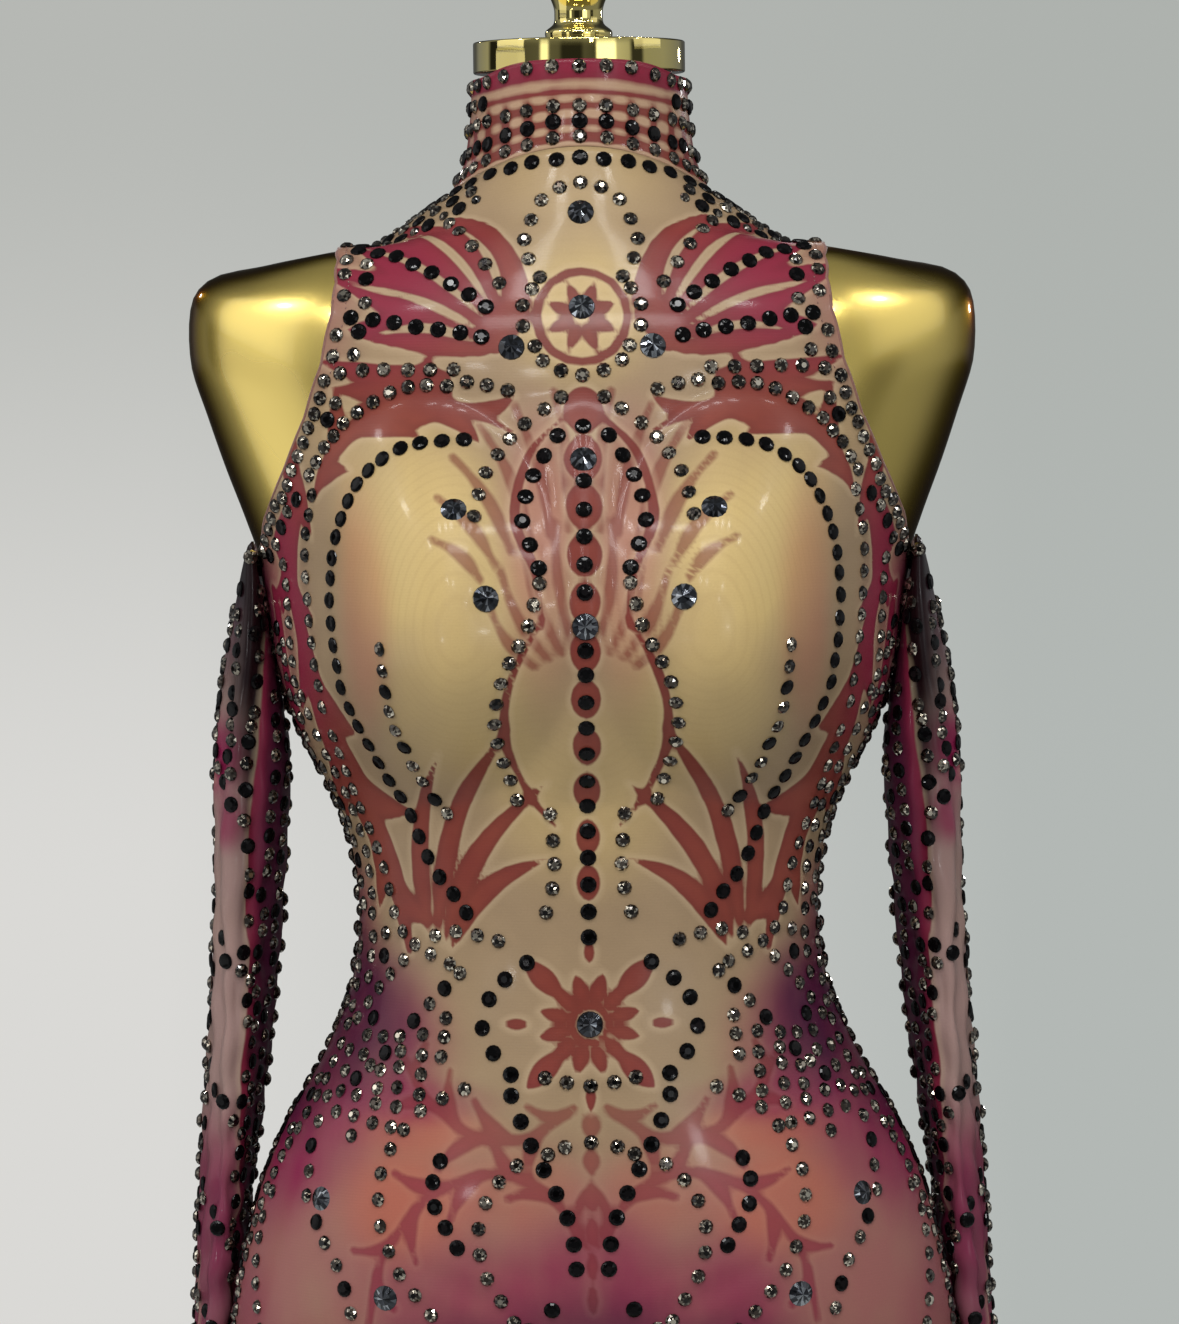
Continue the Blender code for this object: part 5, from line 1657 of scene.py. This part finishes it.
def polished_brass():
    """Brass, turned, polished, gold plated and varnished: it mirrors the room, with faint
    smudges and turning lines drawn 0.6 mm apart."""
    m = new_material("gold_plated_brass", {
        "Metallic": 1.0, "Coat Weight": 0.8, "Coat IOR": 1.9, "Coat Roughness": 0.02,
    })
    place = add_node(m, "TexCoord", {}, "Object")
    smudge = add_node(m, "TexNoise", {"Vector": place, "Scale": 28.0, "Detail": 4.0})
    lines = add_node(m, "TexWave", {
        "Vector": place, "Scale": BANDS / 0.0006, "Distortion": 0.3,
    }, 1, bands_direction="Z")
    colour = add_node(m, "Mix", {0: smudge, 6: hex_colour("#d9c364"), 7: hex_colour("#e8d57c")},
                      2, data_type="RGBA")
    rough = add_node(m, "MapRange", {0: smudge, 1: 0.35, 2: 0.75, 3: 0.02, 4: 0.06})
    turning = add_node(m, "Bump", {"Strength": 0.02, "Distance": 0.0002, "Height": lines})
    return feed(m, {"Base Color": colour, "Roughness": rough, "Normal": turning})


# The facets' colours are painted reflections, each facet a random share between dark and light.
STONE_FINISHES = {  # material name; darkest, middle and lightest facet; shader values
    "jet": ("jet_black_cut_glass", ("#020202", "#050405", "#120f10"),
            {"Roughness": 0.08, "IOR": 1.5, "Specular IOR Level": 0.13}),
    "smoke": ("foiled_smoky_crystal", ("#0a0808", "#4d4339", "#e6dcc8"),
              {"Roughness": 0.1, "Metallic": 0.92, "Coat Weight": 0.6, "Coat Roughness": 0.03}),
    "slate": ("foiled_slate_crystal", ("#0c0d11", "#33373f", "#a9adb2"),
              {"Roughness": 0.1, "Metallic": 0.9, "Coat Weight": 0.8,
               "Coat Roughness": 0.02}),
}


def cut_glass(name, tones, values):
    """Cut glass. Jet stays black but for its glints. The stones are foiled at the back, and each
    facet is painted a colour at random, some dark and a few bright: painted reflections of the
    room that the facets mirror."""
    m = new_material(name, values)
    painted_reflection = add_node(m, "Attribute", {}, "Fac", attribute_name="painted_reflection")
    dark, middle, light = (hex_colour(code) for code in tones)
    low = add_node(m, "MapRange", {0: painted_reflection, 1: 0.1, 2: 0.5})
    high = add_node(m, "MapRange", {0: painted_reflection, 1: 0.5, 2: 0.95})
    colour = add_node(m, "Mix", {0: low, 6: dark, 7: middle}, 2, data_type="RGBA")
    colour = add_node(m, "Mix", {0: high, 6: colour, 7: light}, 2, data_type="RGBA")
    return feed(m, {"Base Color": colour})


def nylon_thread():
    """Textured nylon thread, a shade darker than the bare mesh, with a soft matt twist."""
    m = new_material("textured_nylon_thread", {"Roughness": 0.6, "Sheen Weight": 0.2})
    place = add_node(m, "TexCoord", {}, "Object")
    twist = add_node(m, "TexNoise", {"Vector": place, "Scale": 1400.0, "Detail": 1.0})
    colour = add_node(m, "Mix", {0: twist, 6: hex_colour("#5b342f"), 7: hex_colour("#8b6152")},
                      2, data_type="RGBA")
    return feed(m, {"Base Color": colour})


def woven_tape():
    """Woven polyester zip tape in brown nude, matt, with its ribs drawn 1 mm apart."""
    m = new_material("woven_polyester_tape", {"Roughness": 0.75})
    u, v = (add_node(m, "Attribute", {}, "Fac", attribute_name=n) for n in ("cut_u", "cut_v"))
    place = add_node(m, "CombineXYZ", {"X": u, "Y": v})
    ribs = add_node(m, "TexWave", {"Vector": place, "Scale": BANDS}, 1,
                    bands_direction="Y")
    # Painted shade: the colour follows the ribs' bump, darker in the hollows between them.
    colour = add_node(m, "Mix", {0: ribs, 6: hex_colour("#6f5543"), 7: hex_colour("#94785f")},
                      2, data_type="RGBA")
    weave = add_node(m, "Bump", {"Strength": 0.3, "Distance": 0.0003, "Height": ribs})
    return feed(m, {"Base Color": colour, "Normal": weave})


def dark_nickel():
    """Dark nickel plate on die-cast zinc, satin, with small rubbed patches."""
    m = new_material("dark_nickel_plate", {"Metallic": 1.0})
    place = add_node(m, "TexCoord", {}, "Object")
    rub = add_node(m, "TexNoise", {"Vector": place, "Scale": 220.0, "Detail": 3.0})
    colour = add_node(m, "Mix", {0: rub, 6: hex_colour("#5a5654"), 7: hex_colour("#8a8683")},
                      2, data_type="RGBA")
    rough = add_node(m, "MapRange", {0: rub, 1: 0.3, 2: 0.7, 3: 0.22, 4: 0.38})
    return feed(m, {"Base Color": colour, "Roughness": rough})


# Stage, light and camera

WALL_Y, WALL_HALF, WALL_TOP = 1250, 1300, 3000
FLOOR_HALF = 40000


def faded(paint, share, start, end):
    """1 up to the start of a stretch in metres, and 0 from its end on."""
    return add_node(paint, "MapRange", {0: share, 1: start, 2: end, 3: 1.0, 4: 0.0})


def pale_floor():
    """Matt floor paint, pale, which fades into the room's light some metres out."""
    paint = new_material("pale_floor_paint", {
        "Base Color": hex_colour("#c9cccb"), "Roughness": 0.7,
    })
    place = add_node(paint, "TexCoord", {}, "Object")
    out = add_node(paint, "VectorMath", {0: place}, "Value", operation="LENGTH")
    return feed(paint, {"Alpha": faded(paint, out, 0.7, 2.6)})


def pale_wall():
    """Pale backdrop that glows with painted light, as no lamp lights it: brighter low down on
    the left and darker towards the top and the right, as a lamp from the left would leave it,
    and faded at its ends. It is painted on its front only, so it doesn't hide the part from behind."""
    paint = new_material("pale_backdrop_painted_light", {
        "Base Color": (0, 0, 0, 1), "Roughness": 1.0, "Specular IOR Level": 0.0,
        "Emission Strength": 1.0,
    })
    axes = add_node(paint, "SeparateXYZ", {0: add_node(paint, "TexCoord", {}, "Object")}).node
    x, z = axes.outputs["X"], axes.outputs["Z"]
    # Painted light: the emitted colour is brighter low down and on the left, darker towards the top
    # and the right.
    height = add_node(paint, "MapRange", {0: z, 1: 0.94, 2: 1.56},
                      interpolation_type="SMOOTHSTEP")
    across = add_node(paint, "MapRange", {0: x, 1: -0.3, 2: 0.3})
    left = add_node(paint, "Mix", {0: height, 6: hex_colour("#dad9d6"), 7: hex_colour("#b6b8b4")},
                    2, data_type="RGBA")
    right = add_node(paint, "Mix", {0: height, 6: hex_colour("#b3b8b5"),
                                    7: hex_colour("#aeb2ae")}, 2, data_type="RGBA")
    feed(paint, {"Emission Color": add_node(paint, "Mix", {0: across, 6: left, 7: right}, 2,
                                            data_type="RGBA")})
    side = add_node(paint, "Math", {0: x}, operation="ABSOLUTE")
    cover = faded(paint, side, 0.55, 0.95 * WALL_HALF * MM)
    foot = add_node(paint, "MapRange", {0: z, 1: 0.05, 2: 0.5})
    head = faded(paint, z, 1.8, 2.9)
    front = add_node(paint, "Math", {
        0: 1.0, 1: add_node(paint, "NewGeometry", {}, "Backfacing"),
    }, operation="SUBTRACT")
    for other in (foot, head, front):
        cover = add_node(paint, "Math", {0: cover, 1: other}, operation="MULTIPLY")
    return feed(paint, {"Alpha": cover})


def stage():
    """A pale floor, and a pale backdrop behind the part."""
    half, wide, back, top = FLOOR_HALF, WALL_HALF, WALL_Y, WALL_TOP
    corners = [(-half, -half, -0.5), (half, -half, -0.5), (half, half, -0.5),
               (-half, half, -0.5)]
    add_mesh("floor", corners, [(0, 1, 2, 3)], pale_floor())
    corners = [(-wide, back, 0), (wide, back, 0), (wide, back, top), (-wide, back, top)]
    wall = add_mesh("wall", corners, [(0, 1, 2, 3)], pale_wall())
    wall.visible_shadow = wall.visible_glossy = wall.visible_diffuse = False


ROOM = (  # degrees round from the front towards the part's left, and how bright the room is
    (-180, 0.1), (-152, 0.1), (-140, 0.3), (-118, 0.42), (-112, 0.02), (-72, 0.02),
    (-68, 0.1), (-44, 0.14), (-41, 1.9), (-35, 1.9), (-32, 0.16), (-22, 0.14), (-18, 0.03),
    (2, 0.03), (6, 0.12), (18, 0.08), (20, 2.6), (39, 2.6), (42, 0.75), (56, 0.6), (60, 0.05),
    (72, 0.05), (76, 0.42), (104, 0.42), (140, 0.26), (152, 0.1), (180, 0.1),
)


def room():
    """The light of a room, which the polished metal and the stones mirror. Round the part is
    a low band of wall with windows and dark doorways. The ceiling over it and the floor under
    it are dark behind the part and light elsewhere."""
    world = bpy.data.worlds.new("room")
    world.use_nodes = True
    bpy.context.scene.world = world
    seen_way = add_node(world, "TexCoord", {}, "Generated")
    way = add_node(world, "SeparateXYZ", {0: seen_way}).node
    forward = add_node(world, "Math", {0: way.outputs["Y"], 1: -1.0}, operation="MULTIPLY")
    turned_way = add_node(world, "CombineXYZ", {"X": forward, "Y": way.outputs["X"]})
    around = add_node(world, "TexGradient", {"Vector": turned_way}, "Fac",
                      gradient_type="RADIAL")
    walls = add_node(world, "ValToRGB", {0: around})
    stops = walls.node.color_ramp.elements
    for degrees, light in ROOM[1:-1]:
        stops.new(degrees / 360 + 0.5).color = (light, light, light, 1)
    for stop, (_, light) in ((stops[0], ROOM[0]), (stops[-1], ROOM[-1])):
        stop.color = (light, light, light, 1)
    ahead = add_node(world, "VectorMath", {0: seen_way, 1: (-0.15, -0.99, 0)}, "Value",
                     operation="DOT_PRODUCT")
    near = add_node(world, "MapRange", {0: ahead, 1: -0.75, 2: -0.25, 3: 0.04, 4: 0.3},
                    interpolation_type="SMOOTHSTEP")
    level = add_node(world, "Math", {0: way.outputs["Z"], 1: 0.05}, operation="SUBTRACT")
    level = add_node(world, "Math", {0: level}, operation="ABSOLUTE")
    up = add_node(world, "MapRange", {0: level, 1: 0.1, 2: 0.16})
    light = add_node(world, "Mix", {0: up, 6: walls, 7: near}, 2, data_type="RGBA")
    light = add_node(world, "Mix", {0: 1.0, 6: light, 7: hex_colour("#e8edf0")}, 2,
                     data_type="RGBA", blend_type="MULTIPLY")
    seen = add_node(world, "LightPath", {}, "Is Camera Ray")
    light = add_node(world, "Mix", {0: seen, 6: light, 7: hex_colour("#b9bebe")}, 2,
                     data_type="RGBA")
    sky = world.node_tree.nodes["Background"]
    world.node_tree.links.new(light, sky.inputs["Color"])


LIGHTS = (  # name, place and size in metres, power in watts, whether it is mirrored
    ("key", (-0.95, -3.0, 1.8), (1.0, 1.0), 24.5, False),
    ("overhead", (0.0, -1.9, 2.9), (1.3, 0.14), 15, True),
    ("side_left", (-2.2, -0.35, 2.38), (1.7, 1.4), 8, True),
    ("side_left_low", (-2.2, -0.35, 1.0), (1.7, 1.36), 5.2, True),
    ("side_right", (2.2, -0.35, 2.38), (1.7, 1.4), 5, True),
    ("rear", (0.3, 2.5, 2.6), (1.6, 1.2), 42, False),
)
LAMPS = (  # small lamps, which make the glints
    (-0.95, -1.4, 3.0), (-0.6, -1.4, 3.0), (-0.3, -1.4, 3.0), (0.3, -1.4, 3.0),
    (0.6, -1.4, 3.0), (0.95, -1.4, 3.0), (-0.9, -2.6, 2.6), (-0.4, -2.6, 2.5),
    (0.7, -2.9, 2.1), (1.0, -2.7, 2.4), (1.4, -2.6, 1.2), (-1.5, -2.6, 0.9),
    (-1.7, -0.5, 2.6), (1.7, -0.5, 2.6), (-1.6, -1.4, 2.7), (1.6, -1.4, 2.7),
    (-1.6, 2.2, 2.2), (0.2, 2.6, 2.6), (1.7, 2.0, 1.6),
)
LAMP_SIZE, LAMP_POWER = (0.16, 0.1), 2.6
LIT_POINT = Vector((0, 0, 1.2))


def lights():
    """Soft area lights round the part, and the small lamps, all turned towards it."""
    lamps = [(f"lamp_{k}", place, LAMP_SIZE, LAMP_POWER, True) for k, place in enumerate(LAMPS)]
    for name, place, size, power, mirrored_in_gloss in (*LIGHTS, *lamps):
        light = bpy.data.lights.new(name, "AREA")
        light.shape = "RECTANGLE"
        light.size, light.size_y = size
        light.energy = power
        lamp = bpy.data.objects.new(name, light)
        lamp.location = place
        lamp.rotation_euler = (LIT_POINT - Vector(place)).to_track_quat("-Z", "Y").to_euler()
        lamp.visible_glossy = mirrored_in_gloss
        bpy.context.scene.collection.objects.link(lamp)


# In metres, with the width of what it sees at its target, and its roll in degrees
CAMERA = dict(distance=3.0, side=0.0018, height=1.3265, target=1.1765, width=0.586, roll=-0.65)


def camera():
    """A view of the upper part from the front, a little from above, as in the photograph."""
    c = CAMERA
    data = bpy.data.cameras.new("camera")
    data.sensor_fit = "HORIZONTAL"
    place = Vector((c["side"], -c["distance"], c["height"]))
    target = Vector((c["side"], 0, c["target"]))
    data.lens = data.sensor_width * (target - place).length / c["width"]
    obj = bpy.data.objects.new("camera", data)
    look = (target - place).to_track_quat("-Z", "Y").to_matrix().to_4x4()
    obj.matrix_world = (
        Matrix.Translation(place) @ look @ Matrix.Rotation(math.radians(c["roll"]), 4, "Z")
    )
    bpy.context.scene.collection.objects.link(obj)
    bpy.context.scene.camera = obj


mesh_cloth = printed_mesh()
brass, nickel, thread = polished_brass(), dark_nickel(), nylon_thread()
form_piece(gold_lacquer())
front_piece(mesh_cloth)
back_pieces(mesh_cloth)
collar_piece(mesh_cloth)
leg_pieces(mesh_cloth)
sleeve_pieces(mesh_cloth)
stand_pieces(brass)
edge_pieces(thread)
zip_pieces(woven_tape(), nickel)
lay_large_stones()
lay_stones()
stone_pieces({key: cut_glass(*finish) for key, finish in STONE_FINISHES.items()})
stage()
room()
lights()
camera()
bpy.context.scene.view_settings.view_transform = "Standard"
